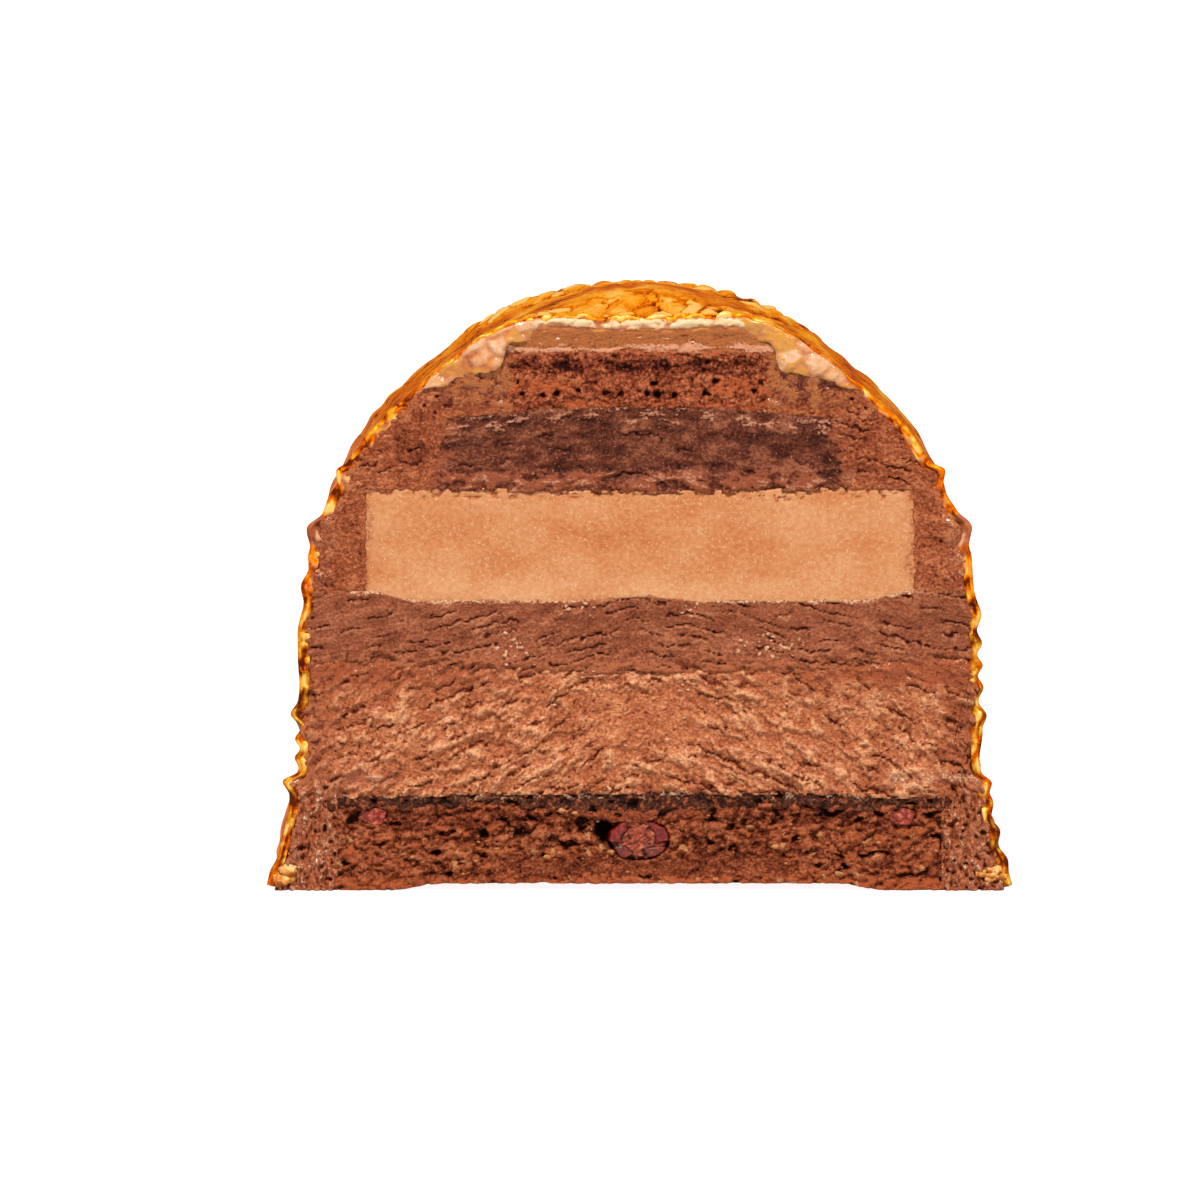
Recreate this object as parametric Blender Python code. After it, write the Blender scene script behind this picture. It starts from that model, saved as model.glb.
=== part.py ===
"""A cut slice of a yule log cake: a gilded glaze over chocolate mousses, with a sponge, a ganache and a
caramel insert, on a cocoa sponge base that holds pieces of cherry.

Run it with blender --background --python part.py, or from the text editor.

Metres, +Z up. The slice stands on its base with the origin under its middle. X is the width of the log,
and Y its length: the front cut faces -Y and the back cut faces +Y. Every layer runs through the slice.
"""

import math

import bmesh
import bpy
from mathutils import Vector, noise

MM = 0.001

# The log: a half round top on leaning walls, which spread into a foot.
SLICE_THICKNESS = 30.0 * MM
CROWN_RADIUS = 39.6 * MM
WALL_HEIGHT = 29.6 * MM
WALL_LEAN = 0.7 * MM
FOOT_HEIGHT = 15.0 * MM
FOOT_SPREAD = 3.3 * MM
FOOT_BEND = 1.1
CROWN_ARC = CROWN_RADIUS * math.pi / 2
HALF_OUTLINE = CROWN_ARC + WALL_HEIGHT

# The crown stands a little higher than the half round, and its shoulders a little lower.
CROWN_RISE = 0.75 * MM
CROWN_RISE_HALF = 18.0 * MM
SHOULDER_FALL = 0.75 * MM
SHOULDER_AT = 25.0 * MM
SHOULDER_HALF = 8.0 * MM

# The knife presses the crown down along each cut.
FRONT_PRESS = 2.95 * MM
BACK_PRESS = 0.8 * MM
PRESS_LENGTH = 12.0 * MM
PRESS_HALF_WIDTH = 15.0 * MM

# Between its cuts the soft cake sinks and draws in a little.
SINK = 0.45 * MM
DRAW_IN = 0.45 * MM

# The gilded glaze, with folds that run along the log.
GLAZE_THICKNESS = 1.15 * MM
GLAZE_HEM = 0.7 * MM
FOLD_SPACING = 5.6 * MM
CROWN_FOLD = 0.16 * MM
WALL_FOLD = 0.5 * MM
# Each knob: its height on the wall, how far it stands out, its half length along the outline.
KNOBS = (
    (48.8 * MM, 1.2 * MM, 1.5 * MM),
    (42.2 * MM, 0.8 * MM, 2.6 * MM),
    (20.6 * MM, 0.6 * MM, 1.6 * MM),
    (12.6 * MM, 0.9 * MM, 1.4 * MM),
)
KNOB_LENGTH = 7.0 * MM
EDGE_WAVER = 0.25 * MM

# The gap that neighbouring pieces keep.
GAP = 0.3 * MM

# The cream under the crown of the glaze.
CREAM_HALF_ARC = 29.0 * MM
CREAM_THICKNESS = 0.95 * MM
CREAM_LUMP_AT = 20.0 * MM
CREAM_LUMP = 1.9 * MM
CREAM_LUMP_HALF = 4.2 * MM
CREAM_END = 0.55 * MM

# The inserts, from the bottom up.
CARAMEL_HALF = 31.8 * MM
CARAMEL_BOTTOM = 33.9 * MM
CARAMEL_TOP = 47.0 * MM
GANACHE_HALF = 24.4 * MM
GANACHE_TOP_HALF = 22.2 * MM
GANACHE_TOP = 56.5 * MM
SPONGE_HALF = 14.9 * MM
SPONGE_TOP_HALF = 14.1 * MM
SPONGE_TOP = 62.9 * MM

# The mousses and the base under them.
MIDDLE_BOTTOM = 25.4 * MM
FILM_TOP = 11.8 * MM
BASE_TOP = 9.9 * MM
BASE_DIP = 1.6 * MM
BASE_HALF = 36.6 * MM
BASE_LIFT = 0.8 * MM
BASE_STRIP = 29.0 * MM

# The cherry pieces set in the base: centre x and z, half width, half height, depth into the cut.
FRONT_CHERRY = (0.0 * MM, 5.7 * MM, 3.7 * MM, 2.3 * MM, 4.5 * MM)
BACK_CHERRY = (9.5 * MM, 5.2 * MM, 3.3 * MM, 2.4 * MM, 4.0 * MM)
CHIP_X = 30.7 * MM
CHIP_Z = 8.7 * MM
CHIP_HALF = (1.4 * MM, 1.6 * MM, 1.0 * MM)
VOID_CENTRE = (-3.4 * MM, 6.1 * MM)
VOID_HALF = (1.7 * MM, 3.4 * MM, 2.2 * MM)

# Columns and rows of each piece's grid, and steps through its depth.
GLAZE_GRID = (132, 6, 1)
CREAM_GRID = (34, 2, 2)
SHELL_ROWS = 4
SPONGE_GRID = (30, 7, 2)
GANACHE_GRID = (28, 6, 2)
CARAMEL_GRID = (20, 4, 2)
MIDDLE_GRID = (40, 5, 2)
LOWER_ROWS = 6
FILM_GRID = (34, 2, 2)
BASE_GRID = (40, 6, 2)

COLOURS = {
    "glaze": ((0.72, 0.33, 0.04), 0.28),
    "cream": ((0.80, 0.50, 0.28), 0.45),
    "shell_mousse": ((0.34, 0.10, 0.045), 0.6),
    "sponge": ((0.25, 0.07, 0.03), 0.8),
    "ganache": ((0.17, 0.055, 0.03), 0.5),
    "caramel": ((0.70, 0.32, 0.13), 0.5),
    "middle_mousse": ((0.32, 0.11, 0.055), 0.6),
    "lower_mousse": ((0.46, 0.18, 0.08), 0.7),
    "dark_chocolate": ((0.10, 0.035, 0.02), 0.5),
    "cocoa_base": ((0.20, 0.06, 0.025), 0.85),
    "cherry": ((0.30, 0.02, 0.015), 0.3),
}


def ease(value, low, high):
    """0 below low, 1 above high and a smooth rise between them."""
    share = min(1.0, max(0.0, (value - low) / (high - low)))
    return share * share * (3 - 2 * share)


def bump(value, centre, half):
    """1 at the centre, falling smoothly to 0 at half a width away."""
    return 1 - ease(abs(value - centre), 0.0, half)


def wave(x, length, seed):
    """An uneven wave from -1 to 1 along x, the same on both sides of the middle."""
    return 1.6 * noise.noise(Vector((abs(x) / length, seed, 0.5)))


def crag(x, z, face, size, depth):
    """How far a cut face stands out at (x, z), as torn crumb of that size and depth."""
    point = Vector((x / size, z / size, 7.3 * face))
    return depth * noise.fractal(point, 0.9, 2.1, 3)


# ---- the outline of the log ----


def wall_half_width(z):
    """The half width of the log at a height on its wall or foot."""
    lean = WALL_LEAN * (WALL_HEIGHT - z) / WALL_HEIGHT
    foot = FOOT_SPREAD * max(0.0, 1 - z / FOOT_HEIGHT) ** FOOT_BEND
    return CROWN_RADIUS + lean + foot


def outline(distance):
    """The point (x, z) of the outline at a distance from the crown, to the left if it is negative."""
    side = math.copysign(1.0, distance)
    distance = abs(distance)
    if distance <= CROWN_ARC:
        angle = distance / CROWN_RADIUS
        return Vector((side * CROWN_RADIUS * math.sin(angle), WALL_HEIGHT + CROWN_RADIUS * math.cos(angle)))
    z = HALF_OUTLINE - distance
    return Vector((side * wall_half_width(z), z))


def outward(distance):
    """The unit normal of the outline, pointing out of the log."""
    step = 1.2 * MM
    run = outline(distance + step) - outline(distance - step)
    return Vector((-run.y, run.x)).normalized()


def distance_at(z):
    """The distance from the crown at which the right half of the outline has that height."""
    if z < WALL_HEIGHT:
        return HALF_OUTLINE - z
    return CROWN_RADIUS * math.acos((z - WALL_HEIGHT) / CROWN_RADIUS)


def press(x, y):
    """How far the knife has pressed the crown down there."""
    across = 1 - ease(abs(x), 2.0 * MM, PRESS_HALF_WIDTH)
    from_front = y + SLICE_THICKNESS / 2
    from_back = SLICE_THICKNESS / 2 - y
    front = FRONT_PRESS * (1 - ease(from_front, 0.0, PRESS_LENGTH))
    back = BACK_PRESS * (1 - ease(from_back, 0.0, PRESS_LENGTH))
    return across * max(front, back)


def crown_shape(x):
    """How far the crown stands above the half round there, or below it on a shoulder."""
    shoulder = SHOULDER_FALL * bump(abs(x), SHOULDER_AT, SHOULDER_HALF)
    return CROWN_RISE * bump(x, 0.0, CROWN_RISE_HALF) - shoulder


def rim(distance, inset, y):
    """A point (x, z) of the pressed outline, moved into the log by inset."""
    point = outline(distance) - outward(distance) * inset
    return Vector((point.x, point.y + crown_shape(point.x) - press(point.x, y)))


def settled(x, y, z):
    """Where a point of the slice ends up once the cake has sunk and drawn in between its cuts."""
    middle = 1 - (2 * y / SLICE_THICKNESS) ** 2
    down = SINK * middle * ease(z, 1 * MM, 8 * MM)
    inward = DRAW_IN * middle * ease(abs(x), 0.0, 12 * MM)
    return Vector((x - math.copysign(inward, x), y, z - down))


# ---- the surfaces between the layers ----


def base_bottom(x):
    return BASE_LIFT * (1 - ease(abs(x), BASE_STRIP - 6 * MM, BASE_STRIP))


def base_top(x):
    return BASE_TOP - BASE_DIP * bump(x, 0.0, 13 * MM) + 0.2 * MM * wave(x, 9 * MM, 1.0)


def film_top(x):
    return FILM_TOP - 0.4 * MM * ease(abs(x), 10 * MM, 30 * MM) + 0.15 * MM * wave(x, 12 * MM, 2.0)


def middle_bottom(x):
    return MIDDLE_BOTTOM + 1.2 * MM * ease(abs(x), 12 * MM, 36 * MM) + 0.4 * MM * wave(x, 14 * MM, 3.0)


def middle_top(x):
    """The surface under the caramel, which steps up to the mousse at its sides."""
    step = 1.2 * MM * ease(abs(x), CARAMEL_HALF - 7 * MM, CARAMEL_HALF + 0.5 * MM)
    return CARAMEL_BOTTOM + step + 0.7 * MM * bump(x, 0.0, 8 * MM) + 0.15 * MM * wave(x, 16 * MM, 4.0)


def caramel_top(x):
    return CARAMEL_TOP - 0.5 * MM * bump(x, 0.0, CARAMEL_HALF) + 0.1 * MM * wave(x, 11 * MM, 5.0)


def ganache_top(x):
    return GANACHE_TOP - 1.3 * MM * ease(abs(x), 4 * MM, GANACHE_HALF) + 0.15 * MM * wave(x, 10 * MM, 6.0)


def sponge_top(x):
    return SPONGE_TOP - 0.5 * MM * ease(abs(x), 8 * MM, SPONGE_HALF) + 0.1 * MM * wave(x, 6 * MM, 7.0)


# ---- grids ----


def unit_block(columns, rows, steps):
    """A closed block of grid cells whose vertices hold (s, t, w), each from 0 to 1."""
    mesh = bmesh.new()
    bmesh.ops.create_grid(mesh, x_segments=columns, y_segments=rows, size=0.5)
    bmesh.ops.translate(mesh, verts=mesh.verts, vec=(0.5, 0.5, 0.0))
    cap = list(mesh.faces)
    for step in range(steps):
        grown = bmesh.ops.extrude_face_region(mesh, geom=cap)["geom"]
        bmesh.ops.translate(
            mesh, verts=[g for g in grown if isinstance(g, bmesh.types.BMVert)], vec=(0, 0, 1 / steps)
        )
        if step:
            bmesh.ops.delete(mesh, geom=cap, context="FACES")
        cap = [g for g in grown if isinstance(g, bmesh.types.BMFace)]
    return mesh


def piece(name, mesh, collection, material_name):
    """A named object in the collection, from a finished bmesh."""
    bmesh.ops.recalc_face_normals(mesh, faces=mesh.faces)
    if mesh.calc_volume(signed=True) < 0:
        bmesh.ops.reverse_faces(mesh, faces=mesh.faces)
    data = bpy.data.meshes.new(name)
    mesh.to_mesh(data)
    mesh.free()
    data.materials.append(material(material_name))
    data.shade_smooth()
    data.set_sharp_from_angle(angle=math.radians(40))
    made = bpy.data.objects.new(name, data)
    collection.objects.link(made)
    return made


def layer(name, grid, plane, relief, collection, material_name):
    """A layer that runs through the slice. plane(s, t, y) gives (x, z), and relief(x, z, face) how far
    the cut faces stand out."""
    mesh = unit_block(*grid)
    for vertex in mesh.verts:
        s, t, w = vertex.co
        y = (w - 0.5) * SLICE_THICKNESS
        x, z = plane(s, t, y)
        vertex.co = settled(x, y, z)
        vertex.co.y += relief(x, z, 1) * w - relief(x, z, -1) * (1 - w)
    return piece(name, mesh, collection, material_name)


def between(lower, upper, half):
    """The plane of a layer that fills the space from lower(x) to upper(x), as wide as half(z) says."""

    def plane(s, t, _y):
        across = 2 * s - 1
        x = across * half(lower(0.0))
        for _ in range(2):
            z = lower(x) + (upper(x) - lower(x)) * t
            x = across * half(z)
        return x, z

    return plane


def in_glaze(z):
    """The half width left inside the glaze at a height."""
    return rim(distance_at(z), GLAZE_THICKNESS + GAP, 0.0).x


# ---- the pieces ----


def fold(distance, y):
    """How far the glaze's folds stand out. They run along the log and wander a little."""
    wander = 2.2 * MM * wave(y + SLICE_THICKNESS, 22 * MM, distance / (60 * MM))
    phase = (distance + wander) / FOLD_SPACING + 0.9 * wave(distance, 17 * MM, 9.0)
    height = CROWN_FOLD + (WALL_FOLD - CROWN_FOLD) * ease(abs(distance), 36 * MM, CROWN_ARC + 4 * MM)
    return height * math.sin(2 * math.pi * phase)


def knob(distance, y):
    """How far the lumps that bulge over the front cut stand out."""
    near = 1 - ease(y + SLICE_THICKNESS / 2, 0.0, KNOB_LENGTH)
    return near * sum(size * bump(abs(distance), distance_at(z), half) for z, size, half in KNOBS)


def make_glaze(collection):
    mesh = unit_block(*GLAZE_GRID)
    reach = HALF_OUTLINE - GLAZE_HEM
    for vertex in mesh.verts:
        s, t, w = vertex.co
        distance = (2 * s - 1) * reach
        y = (t - 0.5) * SLICE_THICKNESS
        outer = fold(distance, y) + knob(distance, y)
        hem = ease(reach - abs(distance), 0.0, 3 * MM)
        x, z = rim(distance, GLAZE_THICKNESS * w - outer * (1 - w) * hem, y)
        vertex.co = settled(x, y, z)
        vertex.co.y += EDGE_WAVER * wave(distance, 3 * MM, 11.0 + t) * (2 * t - 1)
    return piece("glaze", mesh, collection, "glaze")


def cream_thickness(distance):
    """The cream is thin over the crown, swells into a lump on each shoulder and thins out at its ends."""
    reach = abs(distance)
    lump = CREAM_LUMP * bump(reach, CREAM_LUMP_AT, CREAM_LUMP_HALF)
    end = ease(CREAM_HALF_ARC - reach, 0.0, 7 * MM)
    return CREAM_END + (CREAM_THICKNESS - CREAM_END) * end + lump


def make_cream(collection):
    def plane(s, t, y):
        distance = (2 * s - 1) * CREAM_HALF_ARC
        inset = GLAZE_THICKNESS + GAP + cream_thickness(distance) * (1 - t)
        return rim(distance, inset, y)

    def relief(x, z, face):
        return crag(x, z, face, 4 * MM, 0.35 * MM)

    return layer("cream", CREAM_GRID, plane, relief, collection, "cream")


def shell_inset(distance):
    """How deep in the log the mousse shell starts: under the glaze, and under the cream where it lies."""
    under_cream = ease(CREAM_HALF_ARC + 3.5 * MM - abs(distance), 0.0, 2.5 * MM)
    within = min(abs(distance), CREAM_HALF_ARC)
    return GLAZE_THICKNESS + GAP + (cream_thickness(within) + GAP) * under_cream


def pocket_corners():
    """The right half of the pocket that holds the inserts, from its mouth at the bottom to its crown."""
    return (
        Vector((CARAMEL_HALF + GAP, middle_top(CARAMEL_HALF + GAP) + GAP)),
        Vector((CARAMEL_HALF + GAP, caramel_top(CARAMEL_HALF) + GAP)),
        Vector((GANACHE_HALF + GAP, caramel_top(GANACHE_HALF) + GAP)),
        Vector((GANACHE_TOP_HALF + GAP, ganache_top(GANACHE_TOP_HALF) + GAP)),
        Vector((SPONGE_HALF + GAP, ganache_top(SPONGE_HALF) + GAP)),
        Vector((SPONGE_TOP_HALF + GAP, sponge_top(SPONGE_TOP_HALF) + GAP)),
        Vector((0.0, sponge_top(0.0) + GAP)),
    )


def pocket_columns(corners, cell):
    """For each column of the shell, its place along the corners as (corner index, share)."""
    places = []
    for index in range(len(corners) - 1):
        length = (corners[index + 1] - corners[index]).length
        count = max(2, round(length / cell))
        places += [(index, step / count) for step in range(count)]
    places.append((len(corners) - 2, 1.0))
    return places


def make_shell(collection):
    corners = pocket_corners()
    half = pocket_columns(corners, 2.6 * MM)
    columns = 2 * (len(half) - 1)
    mouth = distance_at(middle_top(CARAMEL_HALF + 2 * MM) + GAP)

    def outer_distance(point):
        """Straight out from the centre of the crown's round."""
        return CROWN_RADIUS * math.atan2(point.x, point.y - WALL_HEIGHT)

    def plane(s, t, y):
        column = round(s * columns)
        mirrored = min(column, columns - column)
        side = -1 if column <= columns / 2 else 1
        index, share = half[mirrored]
        inner = corners[index].lerp(corners[index + 1], share)
        ends = [mouth if i == 0 else outer_distance(corners[i]) for i in (index, index + 1)]
        distance = ends[0] + (ends[1] - ends[0]) * share
        outer = rim(distance, shell_inset(distance), y)
        x, z = inner.lerp(outer, t)
        return side * x, z

    def relief(x, z, face):
        return crag(x, z, face, 5 * MM, 0.4 * MM)

    return layer("shell_mousse", (columns, SHELL_ROWS, 2), plane, relief, collection, "shell_mousse")


def pore(x, z, face):
    """How deep a pore of the sponge is at (x, z). The pores stand in loose rows."""
    pitch = 3.1 * MM
    deepest = 0.0
    for row in range(3):
        height = SPONGE_TOP - (1.4 + 2.0 * row) * MM
        place = round(x / pitch + 0.5 * row)
        for column in (place - 1, place, place + 1):
            key = Vector((column * 1.7, row * 5.1, face * 3.3))
            centre_x = (column - 0.5 * row) * pitch + 1.2 * MM * noise.noise(key)
            centre_z = height + 0.6 * MM * noise.noise(key * 1.3)
            away = math.hypot((x - centre_x) / 1.3, z - centre_z)
            deepest = max(deepest, 1 - ease(away, 0.0, 1.0 * MM))
    return deepest * 0.8 * MM


def make_sponge(collection):
    def half(z):
        share = (z - GANACHE_TOP) / (SPONGE_TOP - GANACHE_TOP)
        return SPONGE_HALF + (SPONGE_TOP_HALF - SPONGE_HALF) * share

    def relief(x, z, face):
        return crag(x, z, face, 2.5 * MM, 0.3 * MM) - pore(x, z, face)

    plane = between(lambda x: ganache_top(x) + GAP, sponge_top, half)
    return layer("sponge", SPONGE_GRID, plane, relief, collection, "sponge")


def make_ganache(collection):
    def half(z):
        share = (z - CARAMEL_TOP) / (GANACHE_TOP - CARAMEL_TOP)
        return GANACHE_HALF + (GANACHE_TOP_HALF - GANACHE_HALF) * share

    def relief(x, z, face):
        return crag(x, z, face, 3.5 * MM, 0.4 * MM)

    plane = between(lambda x: caramel_top(x) + GAP, ganache_top, half)
    return layer("ganache", GANACHE_GRID, plane, relief, collection, "ganache")


def make_caramel(collection):
    def relief(x, z, face):
        return crag(x, z, face, 9 * MM, 0.15 * MM)

    plane = between(lambda x: middle_top(x) + GAP, caramel_top, lambda z: CARAMEL_HALF)
    return layer("caramel", CARAMEL_GRID, plane, relief, collection, "caramel")


def make_middle(collection):
    def relief(x, z, face):
        return crag(x / 1.6, z, face, 3 * MM, 0.4 * MM)

    plane = between(lambda x: middle_bottom(x) + GAP, middle_top, in_glaze)
    return layer("middle_mousse", MIDDLE_GRID, plane, relief, collection, "middle_mousse")


def make_lower(collection):
    """The light mousse lies over the base and comes down both of its sides to the floor."""
    side_columns = 8
    top_columns = 17
    columns = 2 * (side_columns + top_columns)
    inner_corner = BASE_HALF + GAP
    outer_corner = in_glaze(MIDDLE_BOTTOM + 1.2 * MM)

    def plane(s, t, _y):
        column = round(s * columns)
        mirrored = min(column, columns - column)
        side = -1 if column <= columns / 2 else 1
        if mirrored <= side_columns:
            share = mirrored / side_columns
            inner = Vector((inner_corner, (film_top(side * inner_corner) + GAP) * share))
            height = middle_bottom(side * outer_corner) * share
            outer = Vector((in_glaze(height), height))
        else:
            share = 1 - (mirrored - side_columns) / top_columns
            inner = Vector((inner_corner * share, film_top(side * inner_corner * share) + GAP))
            x = outer_corner * share
            outer = Vector((x, middle_bottom(side * x)))
        x, z = inner.lerp(outer, t)
        return side * x, z

    def relief(x, z, face):
        return crag(x, z, face, 3.2 * MM, 0.7 * MM)

    return layer("lower_mousse", (columns, LOWER_ROWS, 2), plane, relief, collection, "lower_mousse")


def make_film(collection):
    def relief(x, z, face):
        return crag(x, z, face, 3 * MM, 0.3 * MM)

    plane = between(lambda x: base_top(x) + GAP, film_top, lambda z: BASE_HALF)
    return layer("chocolate_film", FILM_GRID, plane, relief, collection, "dark_chocolate")


def make_base(collection):
    def relief(x, z, face):
        return crag(x, z, face, 2.6 * MM, 0.75 * MM)

    plane = between(base_bottom, base_top, lambda z: BASE_HALF)
    return layer("base_sponge", BASE_GRID, plane, relief, collection, "cocoa_base")


def ellipsoid(centre, half, segments, wobble):
    """A closed rounded lump as a bmesh."""
    mesh = bmesh.new()
    bmesh.ops.create_uvsphere(mesh, u_segments=segments, v_segments=segments // 2 + 1, radius=1.0)
    for vertex in mesh.verts:
        swell = 1 + wobble * noise.noise(vertex.co * 1.7 + Vector((3.1, centre[0] / MM, 0.4)))
        vertex.co = Vector(c + h * v * swell for c, h, v in zip(centre, half, vertex.co))
    return mesh


def cut_flat(mesh, y, face):
    """Cuts the lump along the slice's cut plane and closes it."""
    geometry = [*mesh.verts, *mesh.edges, *mesh.faces]
    cut = bmesh.ops.bisect_plane(
        mesh, geom=geometry, plane_co=(0, y, 0), plane_no=(0, face, 0), clear_outer=True
    )["geom_cut"]
    bmesh.ops.holes_fill(mesh, edges=[g for g in cut if isinstance(g, bmesh.types.BMEdge)])


def cut_plane(face):
    return face * (SLICE_THICKNESS / 2 + 0.25 * MM)


def make_cherry(name, sizes, face, collection, cutters):
    """A halved cherry whose cut side shows, and the pocket that it sits in."""
    x, z, half_width, half_height, depth = sizes
    centre = (x, face * (SLICE_THICKNESS / 2 - 1.0 * MM), z)
    half = (half_width, depth, half_height)
    mesh = ellipsoid(centre, half, 14, 0.12)
    cut_flat(mesh, cut_plane(face), face)
    cherry = piece(name, mesh, collection, "cherry")
    room = tuple(h * 1.07 + GAP for h in half)
    piece(f"pocket_{name}", ellipsoid(centre, room, 14, 0.0), cutters, "cherry")
    return cherry


def make_chip(name, x, face, collection, cutters):
    """A small chip of cherry in the top of the base."""
    centre = (x, face * (SLICE_THICKNESS / 2 - 0.9 * MM), CHIP_Z)
    chip = bmesh.new()
    bmesh.ops.create_icosphere(chip, subdivisions=1, radius=1.0)
    for vertex in chip.verts:
        vertex.co = Vector(c + h * v for c, h, v in zip(centre, CHIP_HALF, vertex.co))
    cut_flat(chip, cut_plane(face), face)
    room = tuple(h * 1.1 + GAP for h in CHIP_HALF)
    piece(f"pocket_{name}", ellipsoid(centre, room, 10, 0.0), cutters, "cherry")
    return piece(name, chip, collection, "cherry")


def make_void(cutters):
    """The hollow that the cherry has left beside it in the front cut."""
    centre = (VOID_CENTRE[0], -SLICE_THICKNESS / 2, VOID_CENTRE[1])
    piece("void_by_cherry", ellipsoid(centre, VOID_HALF, 10, 0.0), cutters, "cocoa_base")


def carve(target, cutters):
    """Cuts every cutter out of the target."""
    modifier = target.modifiers.new("pockets", "BOOLEAN")
    modifier.operation = "DIFFERENCE"
    modifier.operand_type = "COLLECTION"
    modifier.collection = cutters
    for cutter in cutters.objects:
        cutter.hide_render = True
        cutter.display_type = "WIRE"


def material(name):
    """The Principled material of that name, made once."""
    if name in bpy.data.materials:
        return bpy.data.materials[name]
    colour, roughness = COLOURS[name]
    made = bpy.data.materials.new(name)
    made.use_nodes = True
    shader = made.node_tree.nodes["Principled BSDF"]
    shader.inputs["Base Color"].default_value = (*colour, 1.0)
    shader.inputs["Roughness"].default_value = roughness
    shader.inputs["Metallic"].default_value = 0.0
    made.diffuse_color = (*colour, 1.0)
    return made


def clear_scene():
    for old in list(bpy.data.objects):
        bpy.data.objects.remove(old)


def new_collection(name):
    made = bpy.data.collections.new(name)
    bpy.context.scene.collection.children.link(made)
    return made


def main():
    clear_scene()
    cake = new_collection("Yule log slice")
    cutters = new_collection("Cutters")
    make_glaze(cake)
    make_cream(cake)
    make_shell(cake)
    make_sponge(cake)
    make_ganache(cake)
    make_caramel(cake)
    make_middle(cake)
    make_lower(cake)
    make_film(cake)
    base = make_base(cake)
    make_cherry("cherry_front", FRONT_CHERRY, -1, cake, cutters)
    make_cherry("cherry_back", BACK_CHERRY, 1, cake, cutters)
    make_chip("cherry_chip_left", -CHIP_X, -1, cake, cutters)
    make_chip("cherry_chip_right", CHIP_X, -1, cake, cutters)
    make_void(cutters)
    carve(base, cutters)


if __name__ == "__main__":
    main()
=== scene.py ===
"""Dresses a slice of yule log: torn crumb on both cuts, a gilded glaze, crumbs, and a soft studio."""

from __future__ import annotations

import logging
import math
from dataclasses import dataclass
from enum import Enum
from typing import Callable, NamedTuple, Sequence

import bmesh
import bpy
from mathutils import Matrix, Vector, noise


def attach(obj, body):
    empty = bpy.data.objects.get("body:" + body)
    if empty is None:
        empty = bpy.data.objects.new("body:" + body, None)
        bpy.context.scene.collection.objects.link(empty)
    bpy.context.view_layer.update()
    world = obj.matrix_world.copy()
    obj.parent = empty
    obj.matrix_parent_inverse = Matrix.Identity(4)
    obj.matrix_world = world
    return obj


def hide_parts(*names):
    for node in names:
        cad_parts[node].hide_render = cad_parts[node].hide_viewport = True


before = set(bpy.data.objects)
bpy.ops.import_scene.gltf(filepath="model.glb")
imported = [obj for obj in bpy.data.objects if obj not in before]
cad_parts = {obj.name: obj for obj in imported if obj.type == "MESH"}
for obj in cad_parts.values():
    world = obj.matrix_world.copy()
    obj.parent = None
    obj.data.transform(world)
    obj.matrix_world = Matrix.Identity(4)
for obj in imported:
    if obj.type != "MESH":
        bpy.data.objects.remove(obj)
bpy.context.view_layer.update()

MM = 0.001
LOG = logging.getLogger("yule_log")

# How bright the studio makes a surface that faces the camera: finishes are darker by this much.
STUDIO_LEVEL = 1.75

# Where the cherry of the back cut sits, across and up, in millimetres.
BACK_CHERRY = (9.5, 5.2)

Colour = tuple[float, float, float]


class Cut(Enum):
    """The two cuts of the slice, by the way that they face along Y."""

    FRONT = -1
    BACK = 1


class Crumb(NamedTuple):
    """What one point of a cut is like."""

    height: float
    # Its own colour, with painted shade in gaps, pits and crevices and painted highlights on lips and raised
    # lumps.
    tone: float
    accent: float = 0.0
    # Pale streaks, specks and cream; some layers also put painted glints and painted sheen here.
    pale: float = 0.0
    wet: float = 0.0


class Clod(NamedTuple):
    """One point of a crumbly surface: how far up its lump, how near a crevice, and the lump's own chance."""

    rise: float
    crevice: float
    luck: float


# ---- shapes of numbers ----


def ease(value: float, low: float, high: float) -> float:
    """Gives 0 below low, 1 above high and a smooth rise between them."""
    share = min(1.0, max(0.0, (value - low) / (high - low)))
    return share * share * (3 - 2 * share)


def bump(value: float, centre: float, half: float) -> float:
    """Gives 1 at the centre, falling smoothly to 0 at half a width away."""
    return 1 - ease(abs(value - centre), 0.0, half)


def wave(x: float, length: float, seed: float) -> float:
    """Gives an uneven wave from -1 to 1, the same on both sides of the middle."""
    return 1.6 * noise.noise(Vector((abs(x) / length, seed, 0.5)))


def grain(u: float, v: float, seed: float, octaves: int = 3) -> float:
    """Gives fractal noise about 0, mostly within 0.6 of it."""
    return noise.fractal(Vector((u, v, seed)), 0.8, 2.1, octaves)


def chance(i: float, j: float, seed: float) -> float:
    """Gives a fixed number from 0 to 1 for a cell of a grid."""
    return (math.sin(i * 127.1 + j * 311.7 + seed * 74.7) * 43758.5453) % 1.0


def soft_reach(u: float) -> float:
    """The distance from the middle of the log, without a crease at the middle."""
    return math.sqrt(u * u + 4.0) - 2.0


def flakes(along: float, across: float, seed: float, share: float) -> tuple[float, float]:
    """Tears a surface into flakes.

    Args:
        along: The place along the tears, in units of their length.
        across: The place across them, in units of their spacing.
        seed: Which pattern.
        share: How much of the surface is torn, from 0 to 1.

    Returns:
        How much of a raised lip the point is, and how deep in a gap it is, each from 0 to 1.
    """
    place = Vector((along * 0.55, across * 0.3, seed))
    rise = across + 0.7 * noise.noise(place) + 0.3 * noise.noise(place * 5.0)
    rise += 0.16 * noise.noise(place * 13.0)
    row = round(rise)
    here = noise.noise(Vector((along * 0.8 + 5.3 * row, 1.7 * row, seed + 7.0)))
    strength = ease(here, 0.35 - 0.7 * share, 0.52 - 0.7 * share)
    if strength == 0.0:
        return 0.0, 0.0
    off = rise - row
    return strength * bump(off, -0.2, 0.22), strength * (1 - ease(abs(off), 0.0, 0.13))


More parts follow.
